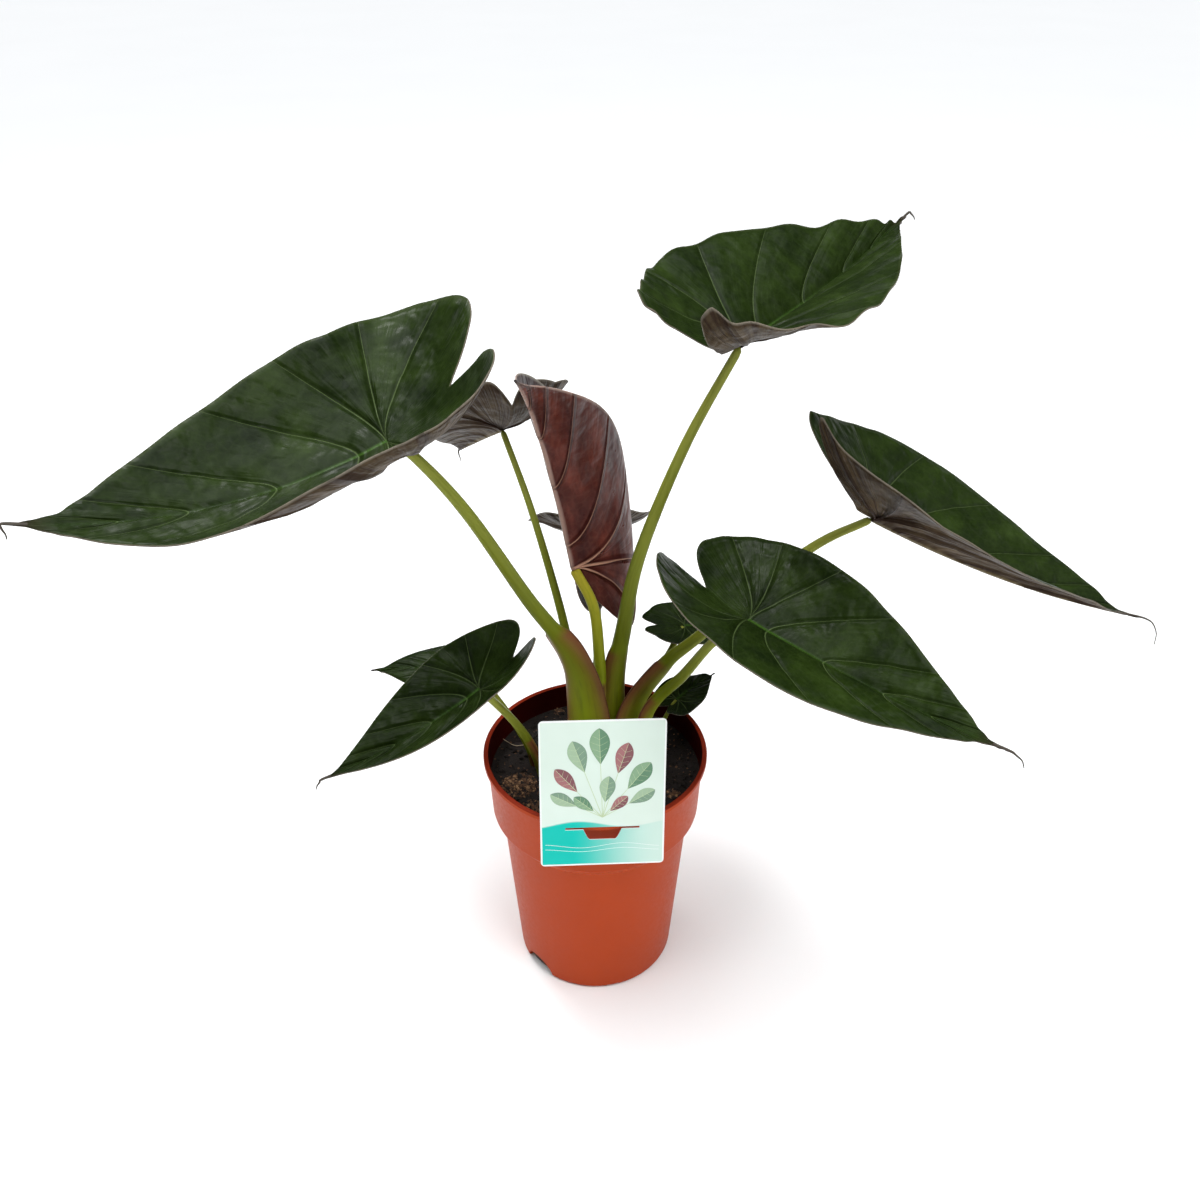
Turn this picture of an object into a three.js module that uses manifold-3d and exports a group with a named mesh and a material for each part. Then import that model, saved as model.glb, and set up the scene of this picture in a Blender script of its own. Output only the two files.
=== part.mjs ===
// A potted alocasia: a moulded nursery pot filled with potting soil, a short stem with eleven
// arrow-shaped leaves on sheathed stalks, and a care card hooked over the rim.
// Millimetres, +Z up. The origin is the middle of the pot's foot. +Y points away from the viewer.
import * as THREE from "three";
import { mergeVertices } from "three/addons/utils/BufferGeometryUtils.js";
import Module from "manifold-3d";

const wasm = await Module();
wasm.setup();

// Pot: a tapering body, a wider collar above a slanted step, and a rolled lip.
const POT = {
  height: 200,
  lipRadius: 85,
  lipDepth: 4,
  lipEdge: 0.8,
  mouthRadius: 81.5,
  collarTopRadius: 82,
  collarFootRadius: 80,
  collarFoot: 150,
  collarEdge: 1,
  stepFoot: 140,
  bodyTopRadius: 72.5,
  footRadius: 62.6,
  footEdge: 4,
  wall: 1.4,
  floor: 2.5,
  sides: 40,
};
const RECESS = { radius: 13, depth: 10, headings: [-138, 42] };
const SLOT = { width: 10, height: 3, headings: [-77, 103] };

const SOIL = { top: 180, lump: 2.4, seed: 5, rings: 5, sides: 30 };
const STEM = {
  x: 11,
  y: 0,
  radius: 13,
  bottom: 146,
  top: 184,
  outline: [[0, 0], [0.6, 0], [1, 0.25], [1, 0.7], [0.7, 0.93], [0, 1]],
};

// Care card: a stiff plastic rectangle with a die-cut tongue that hooks over the lip.
const CARD = {
  width: 87,
  height: 115,
  corner: 3,
  thickness: 0.6,
  lean: 11,
  turn: 3.6,
  aboveRim: 84,
  roll: -0.8,
  slotWidth: 52,
  slotHeight: 1.8,
  windowTop: 27,
  windowFoot: 18,
  windowHeight: 10,
  hookWidth: 24,
  hookReach: 6.6,
  hookDrop: 9,
};

const GAP = 0.3; // clearance between touching pieces
const SEAT_GAP = 0.7; // clearance between a stalk's end and the underside of its blade
const WELD = 1e-4;
const NEAR = 1e-2; // points closer than this count as one

// Half a blade in units of its midrib, from the tip round the lobe to the notch: [along, across].
const HALF_OUTLINE = [
  [1, 0],
  [0.955, 0.006],
  [0.9, 0.022],
  [0.84, 0.055],
  [0.72, 0.125],
  [0.52, 0.235],
  [0.3, 0.32],
  [0.08, 0.36],
  [-0.12, 0.35],
  [-0.27, 0.295],
  [-0.365, 0.215],
  [-0.385, 0.135],
  [-0.33, 0.065],
  [-0.2, 0],
];
const OUTLINE_END = HALF_OUTLINE.length - 1;
const LOBE_END = 10; // the outline turns back towards the notch from this point
const LOBE_TIP = { at: 10.7, spread: 0.9, reach: 0.3 }; // where a pointed lobe is drawn out
const LOBE_SIDE = { at: 9.3, spread: 1.1, cut: 0.35 }; // where a pointed lobe is narrowed
const HALF_WIDTH = 0.36;
const BACK_START = 0.3; // a blade has its back's full width from here, behind the joint
const DEEPEST_LOBE = 1.6; // a lobe's curl stops growing here, in half-widths behind the joint
const FAN = 0.26; // veins whose ends lie behind this share of the midrib start at the joint
const VEIN_CURVE = 1.6;
const VEINS = { first: 2, last: 12.5, fade: 1.5 }; // the outline positions that veins run to
const WAVE_RATE = 2.1; // the edge's wave, in radians for each outline position
const WAVE_DEPTH = 3; // the power of the share by which the wave grows towards the edge
const GROWN_LENGTH = 150; // a shorter blade has a thinner midrib
const BLADE = { halfThickness: 0.4, midrib: 1.7, midribTaper: 0.85, vein: 0.6, quilt: 0.7 };

// Where a sheet has its points, as shares of the way from the midrib to the edge.
const FINE_SHARES = [0, 0.06, 0.4, 0.72, 1];
const ROOM_SHARES = [0, 0.06, 0.4, 1];
const COARSE_SHARES = [0, 0.5, 1];

const STALK_END = 1; // how far a stalk runs on past the joint before it is cut to the blade
const STALK_TAPER = 1.3;
const STALK_MESH = { fine: { steps: 14, sides: 10 }, coarse: { steps: 8, sides: 8 } };
const ARCH_SIDES = 16;
const STEM_SIDES = 16;

// Each leaf: joint is where the stalk meets the blade. heading, pitch and roll turn the blade, in
// degrees; heading 0 is +X and 90 is +Y. length runs from the joint to the tip. bow is how far the
// midrib has drooped by the tip, lift how far the lobes have risen. wave and ripple are the broad
// and the narrow waves of the edge. A half holds its fold at the midrib and at the edge, the share
// of the fold left at the tip, its lobe's length, its extra curl and how pointed it is.
// stalk lists the points from the base to the joint; thin and thick are its radii at the top and
// in the soil, faces is the heading of its rounded back, and its sheath flares to flare times.
const LEAVES = {
  left: {
    joint: [-115, -89, 497], heading: 203, pitch: -21, roll: 10, length: 202, width: 1.08,
    bow: -40, lift: 48, twist: -18, notch: 1.15, back: 1.28, wave: 1.1, ripple: 0.4,
    near: { fold: [5, 63], tip: 1.44, lobe: 1.14, curl: -22, point: 0 },
    far: { fold: [4, 46], tip: 1.44, lobe: 1.01, curl: -33, point: 0 },
    stalk: [
      [-2, -10, 168], [-6, -11, 250], [-16, -14, 296], [-44, -30, 353], [-76, -65, 437],
      [-100, -86, 484],
    ],
    thin: 2.5, thick: 8.4, faces: 250, flare: 2.3, sheath: 0.42,
  },
  right_high: {
    joint: [185, -7, 403], heading: 6, pitch: -31, roll: 18, length: 236, width: 0.92,
    bow: -13, lift: 26, twist: 4, notch: 0.3, back: 0.94, wave: 0.9, ripple: 0.3,
    near: { fold: [52, 40], tip: 1.01, lobe: 0.87, curl: -5, point: 0.2 },
    far: { fold: [19, -3], tip: 0.74, lobe: 0.96, curl: 12, point: 0.8 },
    stalk: [[26, -2, 168], [26, -4, 237], [50, -3, 280], [74, 2, 301], [143, -1, 373]],
    thin: 2.7, thick: 7.6, faces: 315, flare: 2.3, sheath: 0.42,
  },
  top: {
    joint: [89, -12, 525], heading: 51, pitch: 4, roll: 9, length: 218, width: 0.96,
    bow: -10, lift: 37, twist: 6, notch: 0.5, back: 0.94, wave: 1.2, ripple: 1.2,
    near: { fold: [55, 25], tip: 0.85, lobe: 0.95, curl: 2, point: 0.2 },
    far: { fold: [20, 5], tip: 1.22, lobe: 1.04, curl: 12, point: 0.5 },
    stalk: [[15, 2, 168], [13, 1, 253], [20, 0, 307], [30, -2, 369], [57, -7, 453]],
    thin: 2.7, thick: 8.6, faces: 300, flare: 1.5, sheath: 0.35,
  },
  right_low: {
    joint: [99, -60, 358], heading: -47, pitch: -3, roll: 8, length: 186, width: 0.9,
    bow: -8, lift: 25, twist: 27, notch: 1.02, back: 1.06, wave: 0.5, ripple: 0.4,
    near: { fold: [25, 60], tip: 0.79, lobe: 0.97, curl: -16, point: 0 },
    far: { fold: [9, 19], tip: 0.65, lobe: 0.94, curl: 6, point: 0 },
    stalk: [[31, -15, 168], [37, -18, 245], [62, -30, 291], [79, -44, 328]],
    thin: 2.8, thick: 5.2, faces: 310, flare: 1.6, sheath: 0.35,
  },
  rolled: {
    joint: [-15, 9, 355], heading: 172, pitch: 80, roll: -100, length: 217, width: 0.9,
    bow: 61, lift: -29, twist: 10, notch: 0.3, back: 1, wave: 0.5, ripple: 0,
    near: { fold: [3, 91], tip: 0.44, lobe: 0.7, curl: 22, point: 0 },
    far: { fold: [79, 153], tip: 1, lobe: 0.6, curl: 0, point: 0 },
    stalk: [[5, -1, 168], [4, -4, 258], [3, -2, 288], [-1, 3, 326]],
    thin: 3.6, thick: 5, faces: 200, flare: 1.2, sheath: 0.3,
  },
  left_low: {
    joint: [-76, -68, 308], heading: 211, pitch: -24, roll: 15, length: 118, width: 0.85,
    bow: -27, lift: 32, twist: -2, notch: 1.27, back: 0.92, wave: 0, ripple: 0,
    near: { fold: [29, 58], tip: 0.73, lobe: 1.22, curl: -2, point: 0 },
    far: { fold: [24, 42], tip: 0.95, lobe: 1.12, curl: 14, point: 0 },
    stalk: [[-36, -6, 162], [-45, -14, 207], [-57, -30, 248]],
    thin: 2.6, thick: 4.4, faces: 215, flare: 1.35, sheath: 0.5,
  },
  back_left: {
    joint: [-71, 127, 407], heading: 114, pitch: -29, roll: 34, length: 146, width: 1,
    bow: 3, lift: 22, twist: -19, notch: 2.1, back: 1.2, wave: 1.5, ripple: 0,
    near: { fold: [67, 30], tip: 1, lobe: 1, curl: 0, point: 0 },
    far: { fold: [-32, 11], tip: 1, lobe: 1.07, curl: 7, point: 0 },
    stalk: [[0, 12, 168], [-15, 15, 253], [-25, 28, 306], [-47, 74, 365]],
    thin: 2.3, thick: 4.4, faces: 130, flare: 1.3, sheath: 0.3, coarse: true,
  },
  back: {
    joint: [-4, 120, 320], heading: 88, pitch: -30, roll: 0, length: 140, width: 1,
    bow: 5, lift: 20, twist: 0, notch: 1, back: 0.95, wave: 1, ripple: 0,
    near: { fold: [11, 12], tip: 1, lobe: 1, curl: 0, point: 0 },
    far: { fold: [15, 25], tip: 1, lobe: 1, curl: 0, point: 0 },
    stalk: [[8, 18, 168], [2, 24, 238], [2, 38, 267], [1, 66, 295]],
    thin: 2.4, thick: 4.4, faces: 90, flare: 1.3, sheath: 0.3, coarse: true,
  },
  back_right: {
    joint: [70, 75, 262], heading: 8, pitch: -6, roll: -6, length: 72, width: 1,
    bow: 6, lift: 4, twist: 0, notch: 1.5, back: 1, wave: 0.6, ripple: 0,
    near: { fold: [5, 10], tip: 1, lobe: 1, curl: 0, point: 0 },
    far: { fold: [2, 8], tip: 1, lobe: 1, curl: 0, point: 0 },
    stalk: [[24, 13, 168], [34, 24, 220], [54, 48, 247]],
    thin: 2.2, thick: 4, faces: 45, flare: 1.3, sheath: 0.3, coarse: true,
  },
  small_right: {
    joint: [64, 42, 214], heading: 45, pitch: 12, roll: 0, length: 46, width: 1.15,
    bow: 20, lift: 20, twist: 0, notch: 1, back: 0.95, wave: 1, ripple: 0,
    near: { fold: [5, 15], tip: 1, lobe: 1, curl: 0, point: 0 },
    far: { fold: [5, 0], tip: 1, lobe: 1, curl: 0, point: 0 },
    stalk: [[44, 14, 165], [50, 22, 198], [58, 34, 210]],
    thin: 1.3, thick: 2.2, faces: 20, flare: 1.2, sheath: 0.3, coarse: true,
  },
  left_behind: {
    joint: [-90, 10, 267], heading: 176, pitch: 2, roll: 25, length: 80, width: 0.95,
    bow: 20, lift: 10, twist: 0, notch: 0.7, back: 0.9, wave: 1, ripple: 0,
    near: { fold: [12, 20], tip: 1, lobe: 0.65, curl: 0, point: 0 },
    far: { fold: [-12, -18], tip: 1, lobe: 0.65, curl: 0, point: 0 },
    stalk: [[-45, 7, 162], [-51, 3, 198], [-68, 3, 236]],
    thin: 2.1, thick: 3.4, faces: 170, flare: 1.2, sheath: 0.3, coarse: true,
  },
};

const COLOURS = {
  pot: 0xb9573a,
  soil: 0x2a1f18,
  stem: 0x7d8a48,
  card: 0xdff3e6,
  blade: 0x2c4427,
  rolledBlade: 0x6a3f3a,
  stalk: 0x8a9a45,
};

const radians = THREE.MathUtils.degToRad;
const clamp = THREE.MathUtils.clamp;

// A smooth hump, 1 high at offset 0.
function bump(offset) {
  return Math.exp(-offset * offset);
}

// An arc that starts at angle start and turns by turn for each unit: [forward, up] after s.
function arc(start, turn, s) {
  if (Math.abs(turn) < 1e-6) return [s * Math.cos(start), s * Math.sin(start)];
  const end = start + turn * s;
  return [(Math.sin(end) - Math.sin(start)) / turn, (Math.cos(start) - Math.cos(end)) / turn];
}

function smoothCurve(points) {
  return new THREE.CatmullRomCurve3(points.map((p) => new THREE.Vector3(...p)), false, "catmullrom", 0.5);
}

function headingVector(degrees) {
  return new THREE.Vector3(Math.cos(radians(degrees)), Math.sin(radians(degrees)), 0);
}

// Solids

function solidOf(geometry) {
  const bare = geometry.clone();
  bare.deleteAttribute("normal");
  bare.deleteAttribute("uv");
  const welded = mergeVertices(bare, WELD);
  return new wasm.Manifold(
    new wasm.Mesh({
      numProp: 3,
      vertProperties: new Float32Array(welded.attributes.position.array),
      triVerts: new Uint32Array(welded.index.array),
    }),
  );
}

function geometryOf(solid) {
  const mesh = solid.getMesh();
  return indexedGeometry(Array.from(mesh.vertProperties), Array.from(mesh.triVerts));
}

function indexedGeometry(positions, triangles) {
  const geometry = new THREE.BufferGeometry();
  geometry.setAttribute("position", new THREE.Float32BufferAttribute(positions, 3));
  geometry.setIndex(triangles);
  return geometry;
}

function largestPiece(solid) {
  const pieces = solid.decompose();
  return pieces.reduce((best, piece) => (piece.volume() > best.volume() ? piece : best));
}

function latheSolid(profile, sides) {
  const points = profile.map(([radius, height]) => new THREE.Vector2(radius, height));
  const geometry = new THREE.LatheGeometry(points, sides);
  geometry.rotateX(Math.PI / 2);
  return solidOf(geometry);
}

function movedSolid(geometry, x, y, z, heading) {
  geometry.rotateZ(radians(heading));
  geometry.translate(x, y, z);
  return solidOf(geometry);
}

// A closed tube of elliptical rings; section(s) gives the ring's two half-axes as vectors.
function loftSolid(curve, steps, sides, section) {
  const positions = [];
  const triangles = [];
  for (let i = 0; i <= steps; i++) {
    const s = i / steps;
    const centre = curve.getPoint(s);
    const { across, outward } = section(s, curve.getTangent(s));
    for (let k = 0; k < sides; k++) {
      const angle = (2 * Math.PI * k) / sides;
      const point = centre.clone();
      point.addScaledVector(across, Math.cos(angle));
      point.addScaledVector(outward, Math.sin(angle));
      positions.push(point.x, point.y, point.z);
    }
  }
  for (let i = 0; i < steps; i++) {
    for (let k = 0; k < sides; k++) {
      const a = i * sides + k;
      const b = i * sides + ((k + 1) % sides);
      triangles.push(a, b, a + sides, b, b + sides, a + sides);
    }
  }
  const last = steps * sides;
  for (let k = 1; k < sides - 1; k++) {
    triangles.push(0, k + 1, k, last, last + k, last + k + 1);
  }
  return solidOf(indexedGeometry(positions, triangles));
}

// Blades

const outlineCurve = smoothCurve(HALF_OUTLINE.map(([along, across]) => [along, across, 0]));

// The blade's edge at outline position x, from 0 at the tip to OUTLINE_END at the notch.
function edgePoint(leaf, half, x) {
  const point = outlineCurve.getPoint(x / OUTLINE_END);
  let along = point.x;
  let across = point.y * leaf.width;
  if (along < 0) {
    across *= 1 + (leaf.back - 1) * clamp(-along / BACK_START, 0, 1);
    across *= 1 - LOBE_SIDE.cut * half.point * bump((x - LOBE_SIDE.at) / LOBE_SIDE.spread);
    const inward = clamp((x - LOBE_END) / (OUTLINE_END - LOBE_END), 0, 1);
    along *= half.lobe + (leaf.notch - half.lobe) * inward;
    along *= 1 + LOBE_TIP.reach * half.point * bump((x - LOBE_TIP.at) / LOBE_TIP.spread);
  }
  return [along, across];
}

// A blade's own axes in space: towards the tip, to its left, and up out of its upper face.
function bladeAxes(leaf) {
  const pitch = radians(leaf.pitch);
  const forward = headingVector(leaf.heading).multiplyScalar(Math.cos(pitch));
  forward.z = Math.sin(pitch);
  const level = headingVector(leaf.heading).multiplyScalar(-Math.sin(pitch));
  level.z = Math.cos(pitch);
  const side = new THREE.Vector3().crossVectors(level, forward);
  const up = level.multiplyScalar(Math.cos(radians(leaf.roll)));
  up.addScaledVector(side, Math.sin(radians(leaf.roll)));
  return { forward, up, left: new THREE.Vector3().crossVectors(up, forward) };
}

// The point of the blade on the vein that ends at outline position x, at share t of its length.
function bladePoint(leaf, axes, side, x, t) {
  const half = side > 0 ? leaf.near : leaf.far;
  const [edgeAlong, edgeAcross] = edgePoint(leaf, half, x);
  const start = clamp((edgeAlong - FAN) / (1 - FAN), 0, 1);
  const along = start + (edgeAlong - start) * t ** VEIN_CURVE;
  const across = edgeAcross * t;

  const toTip = 1 + (half.tip - 1) * clamp(along, 0, 1);
  const toLobe = clamp(-along / HALF_WIDTH, 0, DEEPEST_LOBE);
  const rootFold = radians(half.fold[0] * toTip + (half.curl / 2) * toLobe);
  const edgeFold = radians(half.fold[1] * toTip + half.curl * toLobe);
  const [out, rise] = arc(rootFold, (edgeFold - rootFold) / (HALF_WIDTH * leaf.width), across);
  const twist = radians(leaf.twist) * along;
  const sideways = side * out * Math.cos(twist) - rise * Math.sin(twist);
  const raised = side * out * Math.sin(twist) + rise * Math.cos(twist);

  const bend = along > 0 ? -radians(leaf.bow) : radians(leaf.lift) / HALF_WIDTH;
  const [forward, up] = arc(0, bend, Math.abs(along));
  const slope = (along > 0 ? 1 : -1) * bend * Math.abs(along);
  const local = [
    Math.sign(along) * forward - raised * Math.sin(slope),
    sideways,
    up + raised * Math.cos(slope),
  ].map((value) => value * leaf.length);

  const inside = clamp(Math.min(x, OUTLINE_END - x) / 2, 0, 1);
  const edgeWave = leaf.wave * Math.sin(WAVE_RATE * x + side);
  const ripple = leaf.ripple * Math.cos(2 * Math.PI * x);
  local[2] += (edgeWave + ripple) * t ** WAVE_DEPTH * inside;
  local[2] -= BLADE.quilt * Math.cos(2 * Math.PI * x) * Math.sin(Math.PI * t) * veinShare(x);
  return new THREE.Vector3(...leaf.joint)
    .addScaledVector(axes.forward, local[0])
    .addScaledVector(axes.left, local[1])
    .addScaledVector(axes.up, local[2]);
}

// Side veins run to the whole outline positions, fading out at the tip and beside the notch.
function veinShare(x) {
  return clamp((x - VEINS.first) / VEINS.fade, 0, 1) * clamp(VEINS.last - x, 0, 1);
}

// The blade as one thin sheet of triangles, with the depth of its underside at each point.
function bladeSheet(leaf, step, shares) {
  const axes = bladeAxes(leaf);
  const points = [];
  const depths = [];
  const seen = new Map();
  const triangles = [];

  function vertex(side, x, t) {
    const point = bladePoint(leaf, axes, side, x, t);
    const key = point.toArray().map((value) => Math.round(value * 1000)).join();
    if (!seen.has(key)) {
      seen.set(key, points.length);
      points.push(point);
      depths.push(0);
    }
    const index = seen.get(key);
    const start = clamp((edgePoint(leaf, leaf.near, x)[0] - FAN) / (1 - FAN), 0, 1);
    const ribDepth = BLADE.midrib * Math.min(1, leaf.length / GROWN_LENGTH);
    const midrib = t === 0 ? ribDepth * (1 - BLADE.midribTaper * start) : 0;
    const vein = BLADE.vein * Math.max(0, Math.cos(2 * Math.PI * x)) * (1 - t) * veinShare(x);
    depths[index] = Math.max(depths[index], BLADE.halfThickness + Math.max(midrib, vein));
    return index;
  }
  for (const side of [1, -1]) {
    for (let x = 0; x < OUTLINE_END; x += step) {
      for (let j = 1; j < shares.length; j++) {
        const corners = [
          vertex(side, x, shares[j - 1]),
          vertex(side, x, shares[j]),
          vertex(side, x + step, shares[j]),
          vertex(side, x + step, shares[j - 1]),
        ];
        for (const [a, b, c] of [[0, 1, 2], [0, 2, 3]]) {
          const face = [corners[a], corners[b], corners[c]];
          if (new Set(face).size < 3) continue;
          triangles.push(side > 0 ? face : face.reverse());
        }
      }
    }
  }
  return { points, depths, triangles };
}

// Both faces of a sheet, triangulated alike, joined by a strip round its edge.
function thickSheet({ points, depths, triangles }, growUp, growDown) {
  const normals = points.map(() => new THREE.Vector3());
  for (const [a, b, c] of triangles) {
    const edge = points[b].clone().sub(points[a]);
    const face = edge.cross(points[c].clone().sub(points[a]));
    for (const index of [a, b, c]) normals[index].add(face);
  }
  normals.forEach((normal) => normal.normalize());
  const height = BLADE.halfThickness + growUp;
  const upper = points.map((p, i) => p.clone().addScaledVector(normals[i], height));
  const lower = points.map((p, i) => p.clone().addScaledVector(normals[i], -depths[i] - growDown));
  const count = points.length;
  const faces = [];
  const edges = new Set(triangles.flatMap(([a, b, c]) => [a + "," + b, b + "," + c, c + "," + a]));
  for (const [a, b, c] of triangles) {
    faces.push(a, b, c, count + a, count + c, count + b);
    for (const [from, to] of [[a, b], [b, c], [c, a]]) {
      if (edges.has(to + "," + from)) continue;
      faces.push(from, count + from, to, to, count + from, count + to);
    }
  }
  const positions = [...upper, ...lower].flatMap((p) => p.toArray());
  return solidOf(indexedGeometry(positions, faces));
}

function bladeSolid(leaf) {
  const step = leaf.coarse ? 1 : 0.5;
  const shares = leaf.coarse ? COARSE_SHARES : FINE_SHARES;
  return thickSheet(bladeSheet(leaf, step, shares), 0, 0);
}

// The room that a stalk's end leaves free: the blade, with fewer veins and a gap round it.
function bladeRoom(leaf) {
  const sheet = bladeSheet(leaf, 1, leaf.coarse ? COARSE_SHARES : ROOM_SHARES);
  return thickSheet(sheet, GAP, SEAT_GAP);
}

// Stalks

function stalkSolid(leaf, grow = 0) {
  const end = new THREE.Vector3(...leaf.joint);
  const before = new THREE.Vector3(...leaf.stalk.at(-1));
  const past = end.clone().add(end.clone().sub(before).setLength(STALK_END));
  const curve = smoothCurve([...leaf.stalk, past.toArray()]);
  const back = headingVector(leaf.faces);
  const { steps, sides } = leaf.coarse ? STALK_MESH.coarse : STALK_MESH.fine;
  return loftSolid(curve, steps, sides, (s, tangent) => {
    const outward = back.clone().addScaledVector(tangent, -back.dot(tangent)).normalize();
    const across = new THREE.Vector3().crossVectors(outward, tangent);
    const radius = leaf.thin + (leaf.thick - leaf.thin) * (1 - s) ** STALK_TAPER;
    const sheath = Math.sqrt(clamp((leaf.sheath - s) / leaf.sheath, 0, 1));
    return {
      across: across.multiplyScalar(radius * (1 + (leaf.flare - 1) * sheath) + grow),
      outward: outward.multiplyScalar(radius + grow),
    };
  });
}

// Pot

function potOuterProfile() {
  const edge = [];
  for (let i = 0; i <= 2; i++) {
    const angle = (Math.PI / 2) * (i / 2);
    edge.push([
      POT.footRadius - POT.footEdge * (1 - Math.sin(angle)),
      POT.footEdge * (1 - Math.cos(angle)),
    ]);
  }
  const lipFoot = POT.height - POT.lipDepth;
  return [
    [0, 0],
    ...edge,
    [POT.bodyTopRadius, POT.stepFoot],
    [POT.collarFootRadius - POT.collarEdge, POT.collarFoot - 2 * POT.collarEdge],
    [POT.collarFootRadius, POT.collarFoot],
    [POT.collarTopRadius, lipFoot],
    [POT.lipRadius, lipFoot + POT.lipEdge],
    [POT.lipRadius, POT.height - 1.5 * POT.lipEdge],
    [POT.lipRadius - POT.lipEdge, POT.height],
    [0, POT.height],
  ];
}

// The hollow of the pot, or with a shrink the filling that fits it, up to the given height.
function potInsideProfile(shrink, top) {
  const inset = POT.wall + shrink;
  const collarInside = POT.collarFootRadius - inset;
  const widening = POT.mouthRadius - shrink - collarInside;
  const share = (top - POT.collarFoot) / (POT.height - POT.collarFoot);
  return [
    [0, POT.floor + shrink],
    [POT.footRadius - POT.footEdge - inset, POT.floor + shrink],
    [POT.footRadius - inset, POT.floor + POT.footEdge + shrink],
    [POT.bodyTopRadius - inset, POT.stepFoot],
    [collarInside, POT.collarFoot],
    [collarInside + widening * share, top],
    [0, top],
  ];
}

function recesses(grow) {
  return RECESS.headings.map((heading) => {
    const length = 2 * RECESS.depth;
    const radius = RECESS.radius + grow;
    const arch = new THREE.CylinderGeometry(radius, radius, length + 2 * grow, ARCH_SIDES);
    arch.rotateZ(Math.PI / 2);
    const centre = headingVector(heading).multiplyScalar(POT.footRadius);
    return movedSolid(arch, centre.x, centre.y, 0, heading);
  });
}

function drainSlots() {
  return SLOT.headings.map((heading) => {
    const box = new THREE.BoxGeometry(POT.footEdge * 3, SLOT.width, 2 * SLOT.height);
    const centre = headingVector(heading).multiplyScalar(POT.footRadius);
    return movedSolid(box, centre.x, centre.y, 0, heading);
  });
}

function potSolid() {
  let hollow = latheSolid(potInsideProfile(0, POT.height + 1), POT.sides);
  for (const arch of recesses(POT.wall)) hollow = hollow.subtract(arch);
  let pot = latheSolid(potOuterProfile(), POT.sides).subtract(hollow);
  for (const cut of [...recesses(0), ...drainSlots()]) pot = pot.subtract(cut);
  return largestPiece(pot);
}

// Soil, with a lumpy top

function seededRandom(seed) {
  let state = seed;
  return () => {
    state = (state * 16807) % 2147483647;
    return state / 2147483647;
  };
}

// A lid of rings whose heights are drawn at random, over the filling's straight walls.
function soilSolid(holes) {
  const random = seededRandom(SOIL.seed);
  const filling = potInsideProfile(GAP, SOIL.top);
  const edgeRadius = filling.at(-2)[0];
  const lathe = new THREE.LatheGeometry(
    [...filling.slice(0, -1), ...soilRings(edgeRadius)].map(([r, z]) => new THREE.Vector2(r, z)),
    SOIL.sides,
  );
  lathe.rotateX(Math.PI / 2);
  lathe.deleteAttribute("normal");
  lathe.deleteAttribute("uv");
  const body = mergeVertices(lathe, NEAR);
  const position = body.attributes.position;
  for (let i = 0; i < position.count; i++) {
    const radius = Math.hypot(position.getX(i), position.getY(i));
    if (position.getZ(i) < SOIL.top - NEAR || radius > edgeRadius - 1) continue;
    position.setZ(i, SOIL.top + SOIL.lump * (2 * random() - 1));
  }
  let soil = solidOf(body);
  for (const arch of recesses(POT.wall + GAP)) soil = soil.subtract(arch);
  for (const hole of holes) soil = soil.subtract(hole);
  return largestPiece(soil);
}

function soilRings(edgeRadius) {
  const rings = [];
  for (let i = 1; i <= SOIL.rings; i++) {
    rings.push([edgeRadius * (1 - i / SOIL.rings), SOIL.top]);
  }
  return rings;
}

// Stem: a short round-topped stub that the stalks grow from

function stemSolid(grow) {
  const radius = STEM.radius + grow;
  const height = STEM.top - STEM.bottom + 2 * grow;
  const profile = STEM.outline.map(([outward, up]) => [outward * radius, up * height]);
  return latheSolid(profile, STEM_SIDES).translate([STEM.x, STEM.y, STEM.bottom - grow]);
}

// Card

function roundedRectangle(width, height, corner) {
  const shape = new THREE.Shape();
  const x = width / 2;
  const y = height / 2;
  shape.moveTo(-x + corner, -y);
  shape.lineTo(x - corner, -y);
  shape.absarc(x - corner, -y + corner, corner, -Math.PI / 2, 0, false);
  shape.lineTo(x, y - corner);
  shape.absarc(x - corner, y - corner, corner, 0, Math.PI / 2, false);
  shape.lineTo(-x + corner, y);
  shape.absarc(-x + corner, y - corner, corner, Math.PI / 2, Math.PI, false);
  shape.lineTo(-x, -y + corner);
  shape.absarc(-x + corner, -y + corner, corner, Math.PI, 1.5 * Math.PI, false);
  return shape;
}

// The card lies in its own plane with y up from the rim, its printed face towards +Z.
function cardSolid() {
  const shape = roundedRectangle(CARD.width, CARD.height, CARD.corner);
  const rim = CARD.height / 2 - CARD.aboveRim;
  const opening = [
    [CARD.slotWidth / 2, rim],
    [-CARD.slotWidth / 2, rim],
    [-CARD.slotWidth / 2, rim - CARD.slotHeight],
    [-CARD.windowTop / 2, rim - CARD.slotHeight],
    [-CARD.windowFoot / 2, rim - CARD.windowHeight],
    [CARD.windowFoot / 2, rim - CARD.windowHeight],
    [CARD.windowTop / 2, rim - CARD.slotHeight],
    [CARD.slotWidth / 2, rim - CARD.slotHeight],
  ];
  shape.holes.push(new THREE.Path(opening.map(([x, y]) => new THREE.Vector2(x, y))));
  const plate = new THREE.ExtrudeGeometry(shape, {
    depth: CARD.thickness,
    bevelEnabled: false,
    curveSegments: 4,
  });
  const card = solidOf(plate).add(hookSolid(rim));
  return card.translate([0, -rim, 0]);
}

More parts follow.
